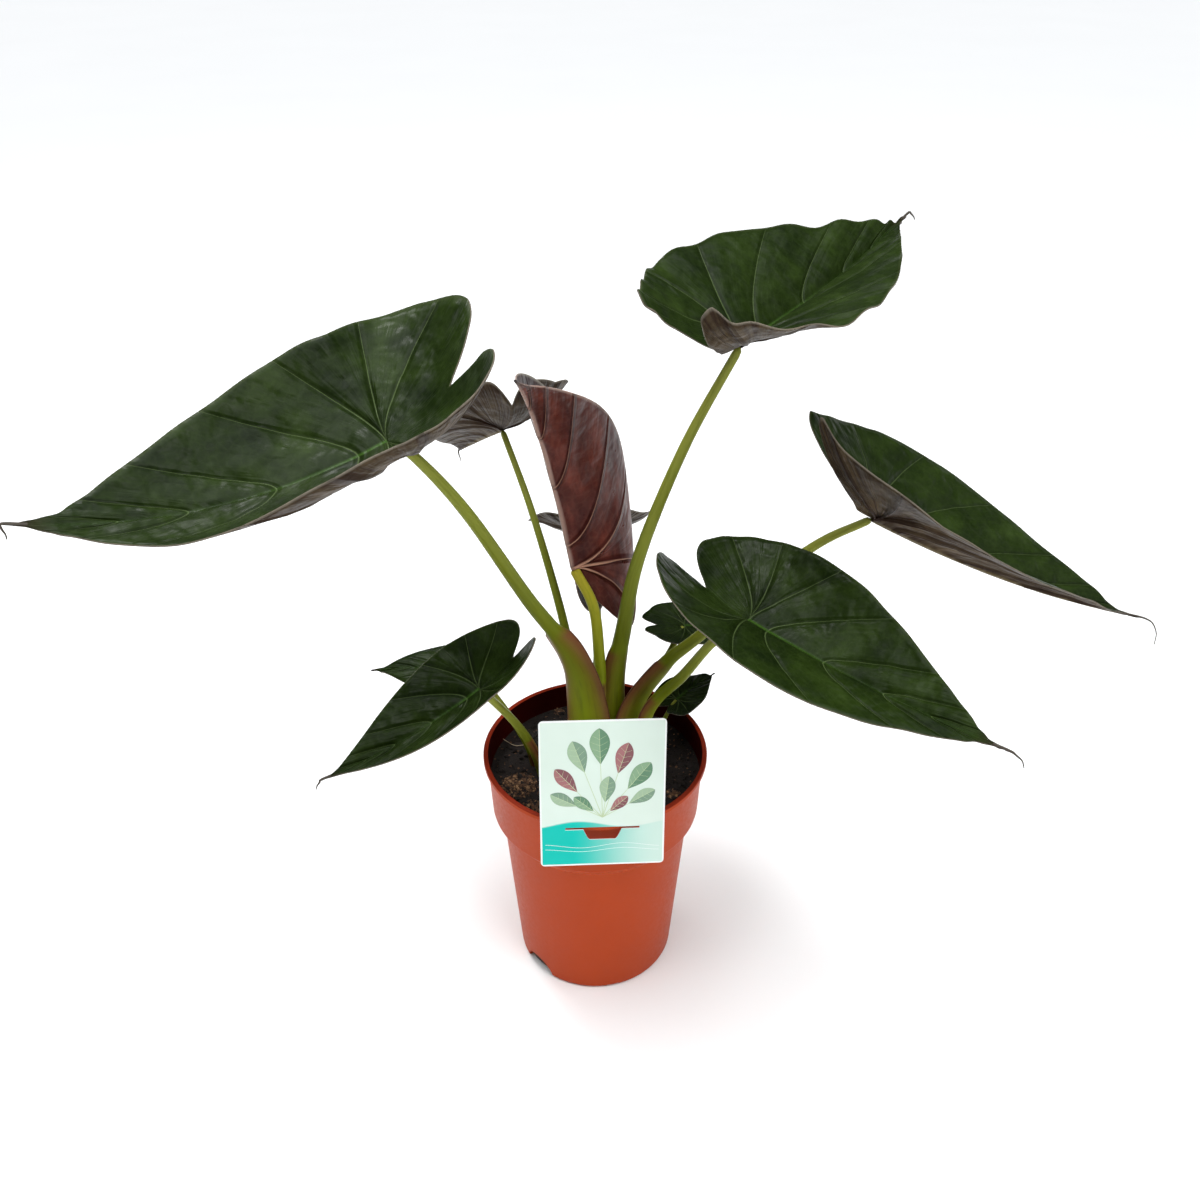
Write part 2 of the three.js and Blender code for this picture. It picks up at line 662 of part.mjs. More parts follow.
// The tongue, bent back level over the lip from just above the slot, then down inside the pot.
function hookSolid(rim) {
  const slant = Math.tan(radians(CARD.lean));
  const reach = CARD.hookReach;
  const foot = reach + CARD.hookDrop * slant;
  const under = rim + 2 * GAP;
  const over = under + CARD.thickness;
  const side = new THREE.Shape();
  side.moveTo(CARD.thickness, under);
  side.lineTo(CARD.thickness, over);
  side.lineTo(-reach, over + reach * slant);
  side.lineTo(-foot, rim - CARD.hookDrop);
  side.lineTo(-foot + CARD.thickness, rim - CARD.hookDrop);
  side.lineTo(-reach + CARD.thickness, under + (reach - CARD.thickness) * slant);
  const hook = new THREE.ExtrudeGeometry(side, { depth: CARD.hookWidth, bevelEnabled: false });
  hook.translate(0, 0, -CARD.hookWidth / 2);
  hook.rotateY(-Math.PI / 2);
  return solidOf(hook);
}

// Assembly

const plant = new THREE.Group();

function addPiece(parent, name, solid, colour, roughness, metalness = 0) {
  const material = new THREE.MeshStandardMaterial({ color: colour, roughness, metalness });
  const mesh = new THREE.Mesh(geometryOf(solid), material);
  mesh.name = name;
  parent.add(mesh);
  return mesh;
}

addPiece(plant, "pot", potSolid(), COLOURS.pot, 0.42);
addPiece(plant, "stem", stemSolid(0), COLOURS.stem, 0.6);

// Each stalk is cut to fit round the stem and the stalks that were there before it.
const taken = [stemSolid(GAP)];
for (const [name, leaf] of Object.entries(LEAVES)) {
  const colour = name === "rolled" ? COLOURS.rolledBlade : COLOURS.blade;
  addPiece(plant, "blade_" + name, bladeSolid(leaf), colour, 0.4);
  let stalk = stalkSolid(leaf).subtract(bladeRoom(leaf));
  for (const other of taken) stalk = stalk.subtract(other);
  addPiece(plant, "stalk_" + name, largestPiece(stalk), COLOURS.stalk, 0.45);
  taken.push(stalkSolid(leaf, GAP));
}
addPiece(plant, "soil", soilSolid(taken), COLOURS.soil, 0.95);

// The card's frame sits at the front of the lip, turned about the pot's axis, and leans back.
const cardPlace = new THREE.Group();
cardPlace.rotation.z = radians(CARD.turn);
const card = addPiece(cardPlace, "care_card", cardSolid(), COLOURS.card, 0.35);
card.rotation.set(radians(90 - CARD.lean), 0, radians(CARD.roll));
card.position.set(0, -POT.lipRadius - GAP, POT.height);
plant.add(cardPlace);

export default plant;
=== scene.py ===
"""Looks for a potted alocasia wentii: leaves, stalks, stem, soil, nursery pot and care card.

Everything is in metres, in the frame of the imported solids: the origin is the middle of the pot's
foot, +Z is up and +Y points away from the viewer.
"""
import logging
import math
import random
from collections.abc import Callable
from dataclasses import dataclass
from enum import Enum
from functools import partial

import bmesh
import bpy
from mathutils import Matrix, Vector, noise


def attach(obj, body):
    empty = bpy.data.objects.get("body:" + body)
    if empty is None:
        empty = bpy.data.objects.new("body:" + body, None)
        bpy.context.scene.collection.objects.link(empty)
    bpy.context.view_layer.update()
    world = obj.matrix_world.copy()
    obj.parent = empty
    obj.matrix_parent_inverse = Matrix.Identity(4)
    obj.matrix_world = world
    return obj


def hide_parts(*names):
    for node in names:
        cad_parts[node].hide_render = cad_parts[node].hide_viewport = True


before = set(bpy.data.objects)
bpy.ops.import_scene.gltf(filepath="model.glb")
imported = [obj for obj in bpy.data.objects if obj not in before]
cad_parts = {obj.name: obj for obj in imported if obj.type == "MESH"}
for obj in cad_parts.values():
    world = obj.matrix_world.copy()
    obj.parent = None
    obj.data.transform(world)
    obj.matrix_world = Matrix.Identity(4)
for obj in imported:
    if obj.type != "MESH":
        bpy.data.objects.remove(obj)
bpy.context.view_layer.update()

BODY = "root"
MM = 0.001
WELD = 0.01 * MM  # points closer than this become one
log = logging.getLogger("alocasia")
NodeAdder = Callable[..., bpy.types.Node]  # add_node for one node tree

# Half a blade in units of its midrib, from the tip round the lobe to the notch: (along, across).
HALF_OUTLINE = [Vector(point) for point in (
    (1.0, 0.0), (0.955, 0.006), (0.9, 0.022), (0.84, 0.055), (0.72, 0.125), (0.52, 0.235), (0.3, 0.32),
    (0.08, 0.36), (-0.12, 0.35), (-0.27, 0.295), (-0.365, 0.215), (-0.385, 0.135), (-0.33, 0.065),
    (-0.2, 0.0),
)]
OUTLINE_END = len(HALF_OUTLINE) - 1
HALF_WIDTH = 0.36
LOBE_END = 10.0  # the outline turns back towards the notch from this point
BACK_REACH = 0.3  # this far behind the joint the lobes have all of their extra width
LOBE_POINT = 10.7  # a pointed lobe is drawn out most here, and narrowed most at LOBE_SIDE
LOBE_SIDE = 9.3
POINT_DRAWN = 0.3  # how much longer a wholly pointed lobe is, and over how much of the outline
POINT_SPREAD = 0.9
SIDE_DRAWN = 0.35  # how much narrower it is, and over how much of the outline
SIDE_SPREAD = 1.1

FAN = 0.1  # veins whose ends lie behind this share of the midrib start at the joint
VEIN_SWEEP = 2.6  # how much nearer the joint a vein starts than it ends
VEIN_CURVE = 1.65  # how late on its way to the edge a vein turns towards the tip
VEIN_ROWS = (2.0, 3.2, 4.2, 5.3, 6.5, 8.1, 9.7)  # where the side veins end on the outline

THINNEST = 0.8 * MM  # a blade between its ribs
THICKEST = 2.6 * MM  # a blade at its midrib, beside the stalk
RIB_TAPER = 0.85  # how much of the midrib's thickness is lost by the tip
RIB_SLOPE = 14.0  # how steeply the midrib thins out sideways
VEIN_THICK = 0.45  # a side vein's thickness beside the midrib's
VEIN_SLOPE = 7.0
FULL_LENGTH = 0.15  # a shorter blade is thinner and smoother in proportion
TIP_START = 0.88  # the blade browns from here to its tip, as a share of the midrib
TIP_FADE = 0.1

WAVE_RATE = 2.1  # the edge's wave, in radians for each outline point
WAVE_START = 2.0  # over this much of the outline the waves grow from the tip and the notch
RIPPLE_MEAN = 0.7  # the ripple's usual share of its full height, which varies from vein to vein
QUILT = 1.4 * MM  # how far the blade swells between its side veins
QUILT_END = 9.5  # in the lobes, from here on, only LOBE_QUILT of that swelling is left
QUILT_FADE = 3.0
LOBE_QUILT = 0.35
QUILT_ROUND = 0.7  # below 1 the swelling has a broad top
QUILT_LEAN = 0.8  # below 1 its top is nearer the midrib than the edge
VEINS_START = 1.5  # from here to VEINS_END the side veins and the swelling show
VEINS_END = 11.5
VEINS_FADE = 1.5
PUCKER = 0.9 * MM  # how far the tissue puckers between its small veins
PUCKER_SIZE = 13 * MM
GROOVE = 0.8 * MM  # how deep the midrib lies in the upper face
GROOVE_WIDTH = 2.2 * MM
GROOVE_FADE = 3.0
LOBE_CURL_END = 1.6  # a lobe curls on as far as this, in half widths behind the joint
ROOT_CURL = 0.5  # the curl at the midrib beside the curl at the edge


class Age(Enum):
    """How old a leaf is, which sets its colours."""

    GROWN = "grown"
    ROLLED = "rolled"


class Detail(Enum):
    """How finely a blade is meshed: rows for each outline point, and columns from midrib to edge."""

    LARGE = (10, 22)
    SMALL = (8, 12)


def clamp(value: float, low: float = 0.0, high: float = 1.0) -> float:
    """Returns value held between low and high."""
    return max(low, min(high, value))


def bump(offset: float) -> float:
    """Returns a smooth hump, 1 high at offset 0."""
    return math.exp(-offset * offset)


def smooth_point(points: list[Vector], position: float) -> Vector:
    """Finds a point on the smooth curve through points.

    Args:
        points: the points that the curve passes through.
        position: where to look, from 0 at the first point, one more for each point.

    Returns:
        The point on the curve.
    """
    last = len(points) - 1
    index = min(int(position), last - 1)
    t = position - index
    here, ahead = points[index], points[index + 1]
    before = points[index - 1] if index > 0 else here * 2 - ahead
    after = points[index + 2] if index + 2 <= last else ahead * 2 - here
    start_slope = (ahead - before) * 0.5
    end_slope = (after - here) * 0.5
    rise = ahead - here
    cubic = start_slope + end_slope - rise * 2
    square = rise * 3 - start_slope * 2 - end_slope
    return ((cubic * t + square) * t + start_slope) * t + here


def arc(start: float, turn: float, distance: float) -> tuple[float, float]:
    """Follows an arc that starts at an angle and turns steadily.

    Args:
        start: first direction, in radians.
        turn: change of direction for each unit of distance.
        distance: how far to go.

    Returns:
        How far forward and how far up the end lies.
    """
    if abs(turn) < 1e-6:
        return distance * math.cos(start), distance * math.sin(start)
    end = start + turn * distance
    return (math.sin(end) - math.sin(start)) / turn, (math.cos(start) - math.cos(end)) / turn


def heading_vector(degrees: float) -> Vector:
    """Returns the level unit vector with this heading, 0 being +X and 90 being +Y."""
    return Vector((math.cos(math.radians(degrees)), math.sin(math.radians(degrees)), 0.0))


def linear(hex_colour: str) -> tuple[float, float, float, float]:
    """Turns an sRGB hex colour, such as "#7b8a35", into linear RGBA."""
    channels = [int(hex_colour[i:i + 2], 16) / 255 for i in (1, 3, 5)]
    return (*(c / 12.92 if c <= 0.04045 else ((c + 0.055) / 1.055) ** 2.4 for c in channels), 1.0)


def add_node(tree: bpy.types.NodeTree, kind: str, settings: dict | None = None,
             links: dict | None = None, stops: tuple = ()) -> bpy.types.Node:
    """Adds a node to a material.

    Args:
        tree: the material's node tree.
        kind: the node's type without its ShaderNode prefix.
        settings: values by property, or by input socket name or number.
        links: what feeds each input socket, by its name or number: an output socket, or a node
            for the first output that it uses.
        stops: a colour ramp's positions and hex colours.

    Returns:
        The new node.
    """
    node = tree.nodes.new("ShaderNode" + kind)
    sockets = {}
    for name, value in (settings or {}).items():
        if isinstance(name, str) and hasattr(node, name):
            setattr(node, name, value)
        else:
            sockets[name] = value
    for name, value in sockets.items():
        node.inputs[name].default_value = value
    for name, source in (links or {}).items():
        if isinstance(source, bpy.types.Node):
            source = next(output for output in source.outputs if output.enabled)
        tree.links.new(source, node.inputs[name])
    if stops:
        ramp = node.color_ramp
        while len(ramp.elements) < len(stops):
            ramp.elements.new(0.5)
        for element, (position, colour) in zip(ramp.elements, stops):
            element.position = position
            element.color = linear(colour)
    return node


def new_material(name: str) -> tuple[bpy.types.Material, NodeAdder]:
    """Makes a material without nodes.

    Args:
        name: its name.

    Returns:
        The material, and what adds nodes to it.
    """
    material = bpy.data.materials.new(name)
    material.use_nodes = True
    material.node_tree.nodes.clear()
    return material, partial(add_node, material.node_tree)


def finish_material(node: NodeAdder, ground: bpy.types.Node, layers: tuple, settings: dict,
                    links: dict) -> None:
    """Paints a material's colours over each other, and ends it with its shader.

    Args:
        node: what adds nodes to the material.
        ground: the node that gives its lowest colour.
        layers: the mask and the hex colour of each layer over that, from below.
        settings: values of the shader's sockets.
        links: what feeds the shader's other sockets.
    """
    for mask, colour in layers:
        ground = node("Mix", {"data_type": "RGBA", 7: linear(colour)}, {0: mask, 6: ground})
    shader = node("BsdfPrincipled", settings, {"Base Color": ground, **links})
    node("OutputMaterial", links={"Surface": shader})


def finish_piece(bm: bmesh.types.BMesh, name: str,
                 materials: list[bpy.types.Material], replaced: tuple[str, ...] = (),
                 sharp_angle: float = 40.0) -> bpy.types.Object:
    """Turns a mesh into a piece that rides on the plant's one body.

    Args:
        bm: the mesh, in the plant's own frame; it is freed.
        name: the piece's name.
        materials: its materials, by face material index.
        replaced: the solids that it stands for.
        sharp_angle: edges that turn more than this, in degrees, stay sharp.

    Returns:
        The new object.
    """
    piece = linked_object(bm, name)
    mesh = piece.data
    mesh.polygons.foreach_set("use_smooth", [True] * len(mesh.polygons))
    mesh.set_sharp_from_angle(angle=math.radians(sharp_angle))
    for material in materials:
        mesh.materials.append(material)
    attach(piece, BODY)
    if replaced:
        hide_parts(*replaced)
    log.info("%s: %d faces", name, len(mesh.polygons))
    return piece


def linked_object(bm: bmesh.types.BMesh, name: str) -> bpy.types.Object:
    """Puts a mesh into the scene as an object.

    Args:
        bm: the mesh; it is freed.
        name: the object's name.

    Returns:
        The new object.
    """
    mesh = bpy.data.meshes.new(name)
    bm.to_mesh(mesh)
    bm.free()
    item = bpy.data.objects.new(name, mesh)
    bpy.context.scene.collection.objects.link(item)
    return item


def apply_modifiers(piece: bpy.types.Object) -> None:
    """Makes a piece's modifiers part of its mesh.

    Args:
        piece: the object that has them.
    """
    bpy.context.view_layer.update()
    evaluated = piece.evaluated_get(bpy.context.evaluated_depsgraph_get())
    mesh = bpy.data.meshes.new_from_object(evaluated)
    piece.modifiers.clear()
    old = piece.data
    piece.data = mesh
    bpy.data.meshes.remove(old)


def turned(profile: list[tuple[float, float]], steps: int, centre: float = 0.0) -> bmesh.types.BMesh:
    """Turns an outline about an upright axis.

    Args:
        profile: radius and height of each point.
        steps: how many sides the turned form has.
        centre: the axis's place along X.

    Returns:
        The closed mesh.
    """
    bm = bmesh.new()
    verts = [bm.verts.new((centre + radius, 0.0, height)) for radius, height in profile]
    edges = [bm.edges.new(pair) for pair in zip(verts, verts[1:])]
    bmesh.ops.spin(
        bm, geom=verts + edges, cent=(centre, 0, 0), axis=(0, 0, 1), angle=2 * math.pi, steps=steps,
        use_merge=True,
    )
    bmesh.ops.remove_doubles(bm, verts=bm.verts, dist=WELD)
    bmesh.ops.recalc_face_normals(bm, faces=bm.faces)
    return bm


# Finishes


SMOOTH = {"interpolation_type": "SMOOTHSTEP"}  # a mask's edge without a visible line


@dataclass(frozen=True)
class LeafFace:
    """One face of a leaf: a waxy cuticle over green or purple tissue, with paler veins.

    The wax gives a broad soft shine that breaks over the swellings between the veins. The tissue
    is clouded from deep to light. Beside the veins, where the folds lie, and in the fine creases
    of the pleats between them, it is darkened as painted shade.
    """

    name: str
    deep: str
    mid: str
    light: str
    vein: str
    midrib: str
    roughness: float
    vein_strength: float
    net_strength: float = 0.12
    net_size: float = 6 * MM
    net_width: float = 0.16
    midrib_end: float = 0.25
    midrib_reach: float = 0.9
    blotch: float = 26 * MM
    stretch: float = 1.0
    pleat_shade_strength: float = 0.12
    pleat_relief: float = 0.25
    pleat_scale: tuple[float, float, float] = (4.5, 1.3, 1.0)
    # The fold colour is painted shade, laid beside the veins and in the pleats' creases.
    fold: str = "#0c1404"
    fold_width: float = 3.6 * MM
    fold_shade_strength: float = 0.22
    vein_relief: float = -0.22
    tip: str = "#2b211a"
    margin: str = "#8f897c"
    margin_strength: float = 0.8
    margin_start: float = 0.975
    vein_width: float = 0.55 * MM
    midrib_width: float = 1.3 * MM
    wax_size: float = 9 * MM
    pucker_size: float = 14 * MM
    relief: float = 3.0 * MM
    shine: float = 0.07

    def material(self) -> bpy.types.Material:
        """Makes the material of this face.

        Returns:
            The material, which reads the blade's flat, lines and spot attributes.
        """
        material, node = new_material(self.name)
        flat, lines, spot = (
            node("Attribute", {"attribute_name": name}).outputs["Vector"]
            for name in ("flat", "lines", "spot")
        )
        line = node("SeparateXYZ", links={0: lines})
        off_vein, off_rib, share = (line.outputs[axis] for axis in "XYZ")
        place = node("SeparateXYZ", links={0: spot})
        along, dry_tip, row = (place.outputs[axis] for axis in "XYZ")

        drawn = node("Mapping", {"Scale": (self.stretch, 1.0, 1.0)}, {"Vector": flat})
        blotch = node(
            "TexNoise", {"Scale": 1 / self.blotch, "Detail": 4.0, "Roughness": 0.6}, {"Vector": drawn},
        )
        tissue = node(
            "ValToRGB", links={"Fac": blotch},
            stops=((0.3, self.deep), (0.52, self.mid), (0.74, self.light)),
        )
        net = node(
            "TexVoronoi", {"feature": "DISTANCE_TO_EDGE", "Scale": 1 / self.net_size}, {"Vector": flat},
        )
        net_mask = node(
            "MapRange",
            {**SMOOTH, "From Max": self.net_width, "To Min": self.net_strength, "To Max": 0.0},
            {"Value": net},
        )
        fold = node(
            "MapRange", {**SMOOTH, "From Max": self.fold_width, "To Min": 1.0, "To Max": 0.0},
            {"Value": off_vein},
        )
        # Painted shade: the fold colour darkens the tissue beside the veins, where the folds lie.
        fold_shade_mask = node("Math", {"operation": "MULTIPLY", 1: self.fold_shade_strength}, {0: fold})
        between = node("CombineXYZ", links={0: row, 1: share})
        tight = node("Mapping", {"Scale": self.pleat_scale}, {"Vector": between})
        pleats = node("TexNoise", {"Scale": 1.0, "Detail": 3.0, "Distortion": 0.4}, {"Vector": tight})
        # Painted shade: the fold colour darkens the fine creases of the pleats.
        pleat_shade_mask = node(
            "MapRange", {**SMOOTH, "From Min": 0.47, "From Max": 0.64, "To Max": self.pleat_shade_strength},
            {"Value": pleats},
        )
        taper = node(
            "MapRange", {"To Min": self.vein_width * 1.5, "To Max": self.vein_width * 0.45},
            {"Value": share},
        )
        vein_mask = node(
            "MapRange", {**SMOOTH, "To Min": self.vein_strength, "To Max": 0.0},
            {"Value": off_vein, "From Max": taper},
        )
        fading = node(
            "MapRange", {"From Max": self.midrib_reach, "To Min": 1.0, "To Max": self.midrib_end},
            {"Value": along},
        )
        rib_mask = node(
            "MapRange", {**SMOOTH, "From Max": self.midrib_width, "To Max": 0.0},
            {"Value": off_rib, "To Min": fading},
        )
        rim_mask = node(
            "MapRange", {**SMOOTH, "From Min": self.margin_start, "To Max": self.margin_strength},
            {"Value": share},
        )
        wax = node("TexNoise", {"Scale": 1 / self.wax_size, "Detail": 3.0}, {"Vector": flat})
        gloss = node(
            "MapRange",
            {"From Min": 0.3, "From Max": 0.7, "To Min": self.roughness - 0.07,
             "To Max": self.roughness + 0.09},
            {"Value": wax},
        )
        height = node(
            "TexNoise", {"Scale": 1 / self.pucker_size, "Detail": 1.5, "Distortion": 0.2},
            {"Vector": flat},
        )
        reliefs = (
            (fold, self.vein_relief), (vein_mask, 0.3 * self.vein_relief), (pleats, -self.pleat_relief),
        )
        for form, strength in reliefs:
            height = node("Math", {"operation": "MULTIPLY_ADD", 1: strength}, {0: form, 2: height})
        surface = node("Bump", {"Strength": 1.0, "Distance": self.relief}, {"Height": height})
        layers = (
            (net_mask, self.vein), (fold_shade_mask, self.fold), (pleat_shade_mask, self.fold),
            (vein_mask, self.vein), (rib_mask, self.midrib), (rim_mask, self.margin),
            (dry_tip, self.tip),
        )
        finish_material(
            node, tissue, layers, {"IOR": 1.45, "Specular IOR Level": self.shine},
            {"Roughness": gloss, "Normal": surface},
        )
        return material


@dataclass(frozen=True)
class StalkSkin:
    """The skin of a leaf stalk: smooth and fleshy, paler at the base, with brown sheath edges.

    A little light sinks into the flesh, so its shaded side stays warm. Its fibres give long
    streaks, which are drawn coarser than they are, to show.
    """

    name: str
    base: str
    middle: str
    top: str
    streak: str
    flush: str
    margin: str
    roughness: float = 0.42
    streak_width: float = 1.6 * MM
    streak_squeeze: float = 0.06
    relief: float = 0.3 * MM

    def material(self) -> bpy.types.Material:
        """Makes the material of this skin.

        Returns:
            The material, which reads the stalk's flat and skin attributes.
        """
        material, node = new_material(self.name)
        flat, skin = (
            node("Attribute", {"attribute_name": name}).outputs["Vector"]
            for name in ("flat", "skin")
        )
        part = node("SeparateXYZ", links={0: skin})
        along, flushed, sheath_edge = (part.outputs[axis] for axis in "XYZ")
        length = node(
            "ValToRGB", links={"Fac": along},
            stops=((0.05, self.base), (0.4, self.middle), (0.95, self.top)),
        )
        drawn = node("Mapping", {"Scale": (1.0, 1.0, self.streak_squeeze)}, {"Vector": flat})
        streaks = node("TexNoise", {"Scale": 1 / self.streak_width, "Detail": 4.0}, {"Vector": drawn})
        streak_mask = node(
            "MapRange", {"From Min": 0.5, "From Max": 0.8, "To Max": 0.55}, {"Value": streaks},
        )
        surface = node("Bump", {"Strength": 0.3, "Distance": self.relief}, {"Height": streaks})
        layers = ((streak_mask, self.streak), (flushed, self.flush), (sheath_edge, self.margin))
        settings = {
            "Roughness": self.roughness, "Specular IOR Level": 0.08, "Subsurface Weight": 0.08,
            "Subsurface Radius": (0.6, 1.0, 0.3), "Subsurface Scale": 1.5 * MM,
        }
        finish_material(node, length, layers, settings, {"Normal": surface})
        return material


@dataclass(frozen=True)
class MouldedPlastic:
    """Thin moulded polypropylene: satin, evenly coloured, with faint flow clouds and scuffs.

    The mould's grain is finer than the render shows, so it is drawn coarser.
    """

    name: str
    colour: str
    cloud: str
    roughness: float
    cloud_size: float = 45 * MM
    scuff_size: float = 3 * MM
    grain_size: float = 0.7 * MM
    relief: float = 0.1 * MM

    def material(self) -> bpy.types.Material:
        """Makes the material of this plastic.

        Returns:
            The material.
        """
        material, node = new_material(self.name)
        place = node("TexCoord").outputs["Object"]
        clouds, scuffs, grain = (
            node("TexNoise", {"Scale": 1 / size, **settings}, {"Vector": place})
            for size, settings in (
                (self.cloud_size, {"Detail": 3.0}),
                (self.scuff_size, {"Detail": 6.0, "Roughness": 0.7}),
                (self.grain_size, {"Detail": 2.0}),
            )
        )
        colour = node("Mix", {"data_type": "RGBA", 6: linear(self.colour),
                                        7: linear(self.cloud)}, {0: clouds})
        gloss = node(
            "MapRange",
            {"From Min": 0.35, "From Max": 0.7, "To Min": self.roughness - 0.05,
             "To Max": self.roughness + 0.1},
            {"Value": scuffs},
        )
        surface = node("Bump", {"Strength": 0.12, "Distance": self.relief}, {"Height": grain})
        finish_material(
            node, colour, (), {"IOR": 1.49, "Specular IOR Level": 0.06},
            {"Roughness": gloss, "Normal": surface},
        )
        return material


@dataclass(frozen=True)
class Peat:
    """Potting soil: dark crumbly peat with tan bark fibres and grit, quite without shine."""

    name: str
    dark: str
    mid: str
    grit: str
    grit_share: float
    crumb_size: float = 2.2 * MM
    grit_size: float = 1.6 * MM
    relief: float = 1.0 * MM

    def material(self) -> bpy.types.Material:
        """Makes the material of this soil.

        Returns:
            The material.
        """
        material, node = new_material(self.name)
        place = node("TexCoord").outputs["Object"]
        crumb = node(
            "TexNoise", {"Scale": 1 / self.crumb_size, "Detail": 6.0, "Roughness": 0.75},
            {"Vector": place},
        )
        ground = node("ValToRGB", links={"Fac": crumb}, stops=((0.35, self.dark), (0.6, self.mid)))
        specks = node("TexVoronoi", {"Scale": 1 / self.grit_size}, {"Vector": place})
        pick = node("SeparateColor", links={0: specks.outputs["Color"]})
        chosen = node("Math", {"operation": "LESS_THAN", 1: self.grit_share}, {0: pick})
        surface = node("Bump", {"Strength": 0.9, "Distance": self.relief}, {"Height": crumb})
        finish_material(node, ground, ((chosen, self.grit),), {"Roughness": 0.92}, {"Normal": surface})
        return material


@dataclass(frozen=True)
class CardPrint:
    """Glossy printed plastic: a mint field with a turquoise foot inside a thin white border."""

    name: str
    field: str
    glow: str
    foot: str
    border: str
    half_width: float
    half_height: float
    centre_height: float
    border_width: float = 1.2 * MM
    foot_height: float = 34 * MM
    foot_blur: float = 1.2 * MM
    cloud_size: float = 38 * MM
    wave_length: float = 70 * MM
    wave_height: float = 2.5 * MM

    def material(self) -> bpy.types.Material:
        """Makes the material of the card's printed face.

        Returns:
            The material, which reads the card's print attribute: across and up from the rim.
        """
        material, node = new_material(self.name)
        place = node("Attribute", {"attribute_name": "print"}).outputs["Vector"]
        axes = node("SeparateXYZ", links={0: place})
        cloud = node("TexNoise", {"Scale": 1 / self.cloud_size, "Detail": 2.0}, {"Vector": place})
        ground = node("Mix", {"data_type": "RGBA", 6: linear(self.field),
                                        7: linear(self.glow)}, {0: cloud})
        turns = node(
            "Math", {"operation": "MULTIPLY", 1: 2 * math.pi / self.wave_length},
            {0: axes.outputs["X"]},
        )
        wave = node("Math", {"operation": "SINE"}, {0: turns})
        level = node(
            "Math", {"operation": "MULTIPLY_ADD", 1: self.wave_height}, {0: wave, 2: axes.outputs["Y"]},
        )
        foot_top = self.centre_height - self.half_height + self.foot_height
        below = node(
            "MapRange", {"From Min": foot_top, "From Max": foot_top - self.foot_blur}, {"Value": level},
        )
        fade = node(
            "MapRange",
            {**SMOOTH, "From Min": -0.5 * self.half_width, "From Max": 0.95 * self.half_width,
             "To Min": 1.0, "To Max": 0.15},
            {"Value": axes.outputs["X"]},
        )
        foot_mask = node("Math", {"operation": "MULTIPLY"}, {0: below, 1: fade})
        centred = node(
            "VectorMath", {"operation": "SUBTRACT", 1: (0.0, self.centre_height, 0.0)}, {0: place},
        )
        folded = node("VectorMath", {"operation": "ABSOLUTE"}, {0: centred})
        sides = node("SeparateXYZ", links={0: folded})
        past_side, past_end = (
            node("Math", {"operation": "GREATER_THAN", 1: half - self.border_width},
                     {0: sides.outputs[axis]})
            for axis, half in (("X", self.half_width), ("Y", self.half_height))
        )
        past = node("Math", {"operation": "MAXIMUM"}, {0: past_side, 1: past_end})
        settings = {
            "Roughness": 0.32, "Specular IOR Level": 0.15, "Coat Weight": 0.03,
            "Coat Roughness": 0.15,
        }
        finish_material(node, ground, ((foot_mask, self.foot), (past, self.border)), settings, {})
        return material


@dataclass(frozen=True)
class PlainFinish:
    """A surface of one colour with a little cloudiness, such as ink, paper or a dry root."""

    name: str
    colour: str
    cloud: str
    grain: float
    roughness: float

    def material(self) -> bpy.types.Material:
        """Makes the material of this finish.

        Returns:
            The material.
        """
        material, node = new_material(self.name)
        place = node("TexCoord").outputs["Object"]
        clouds = node("TexNoise", {"Scale": 1 / self.grain, "Detail": 3.0}, {"Vector": place})
        colour = node("Mix", {"data_type": "RGBA", 6: linear(self.colour),
                                        7: linear(self.cloud)}, {0: clouds})
        finish_material(node, colour, (), {"Roughness": self.roughness}, {})
        return material


# Thick wax over dark tissue: nearly black green, with a soft sheen and thin paler veins.
GROWN_TOP = LeafFace(
    name="waxy_dark_green_cuticle", deep="#101b06", mid="#1b2809", light="#283712",
    vein="#4c5b35", midrib="#34501a", roughness=0.35, vein_strength=0.75, net_strength=0.04,
    midrib_end=0.12, midrib_reach=0.4, vein_width=0.65 * MM, midrib_width=1.9 * MM,
    margin="#3d4629", margin_strength=0.5, shine=0.085,
)
# Little wax, and purple under the green: a dull grey mauve with raised, darker ribs.
# Its creases and the broad bands beside its ribs are darkened as painted shade.
GROWN_UNDER = LeafFace(
    name="matt_grey_mauve_cuticle", deep="#2e2319", mid="#433727", light="#5c4d38",
    vein="#2a1a13", midrib="#665a3c", roughness=0.45, vein_strength=0.8, net_strength=0.12,
    midrib_end=0.6, fold="#2a1c14", fold_width=7.0 * MM, fold_shade_strength=0.6, vein_relief=0.8,
    vein_width=0.8 * MM, midrib_width=2.0 * MM, margin="#7d766a", margin_strength=0.6,
    pleat_shade_strength=0.75, pleat_relief=0.9, shine=0.06,
)
# The inside of the young leaf, where hardly any light falls: a deep brown red.
ROLLED_TOP = LeafFace(
    name="dark_red_young_cuticle", deep="#1c0806", mid="#280c09", light="#35110c",
    vein="#4a2018", midrib="#4a2a1a", roughness=0.4, vein_strength=0.5, net_strength=0.04,
    fold="#120403",
)
# New, tight and thin: glossy maroon in streaks along the leaf, with pale pink ribs.
# Beside the ribs and in the creases it is darkened as painted shade.
ROLLED_UNDER = LeafFace(
    name="glossy_maroon_cuticle", deep="#30100e", mid="#4e231c", light="#70382d",
    vein="#b0846e", midrib="#a08478", roughness=0.34, vein_strength=0.95, net_strength=0.03,
    midrib_end=0.75, blotch=16 * MM, stretch=0.3, fold="#3a1512", fold_shade_strength=0.6,
    vein_relief=0.9, vein_width=0.7 * MM, midrib_width=1.6 * MM, margin="#9b8378",
    pleat_shade_strength=0.3, shine=0.1,
)
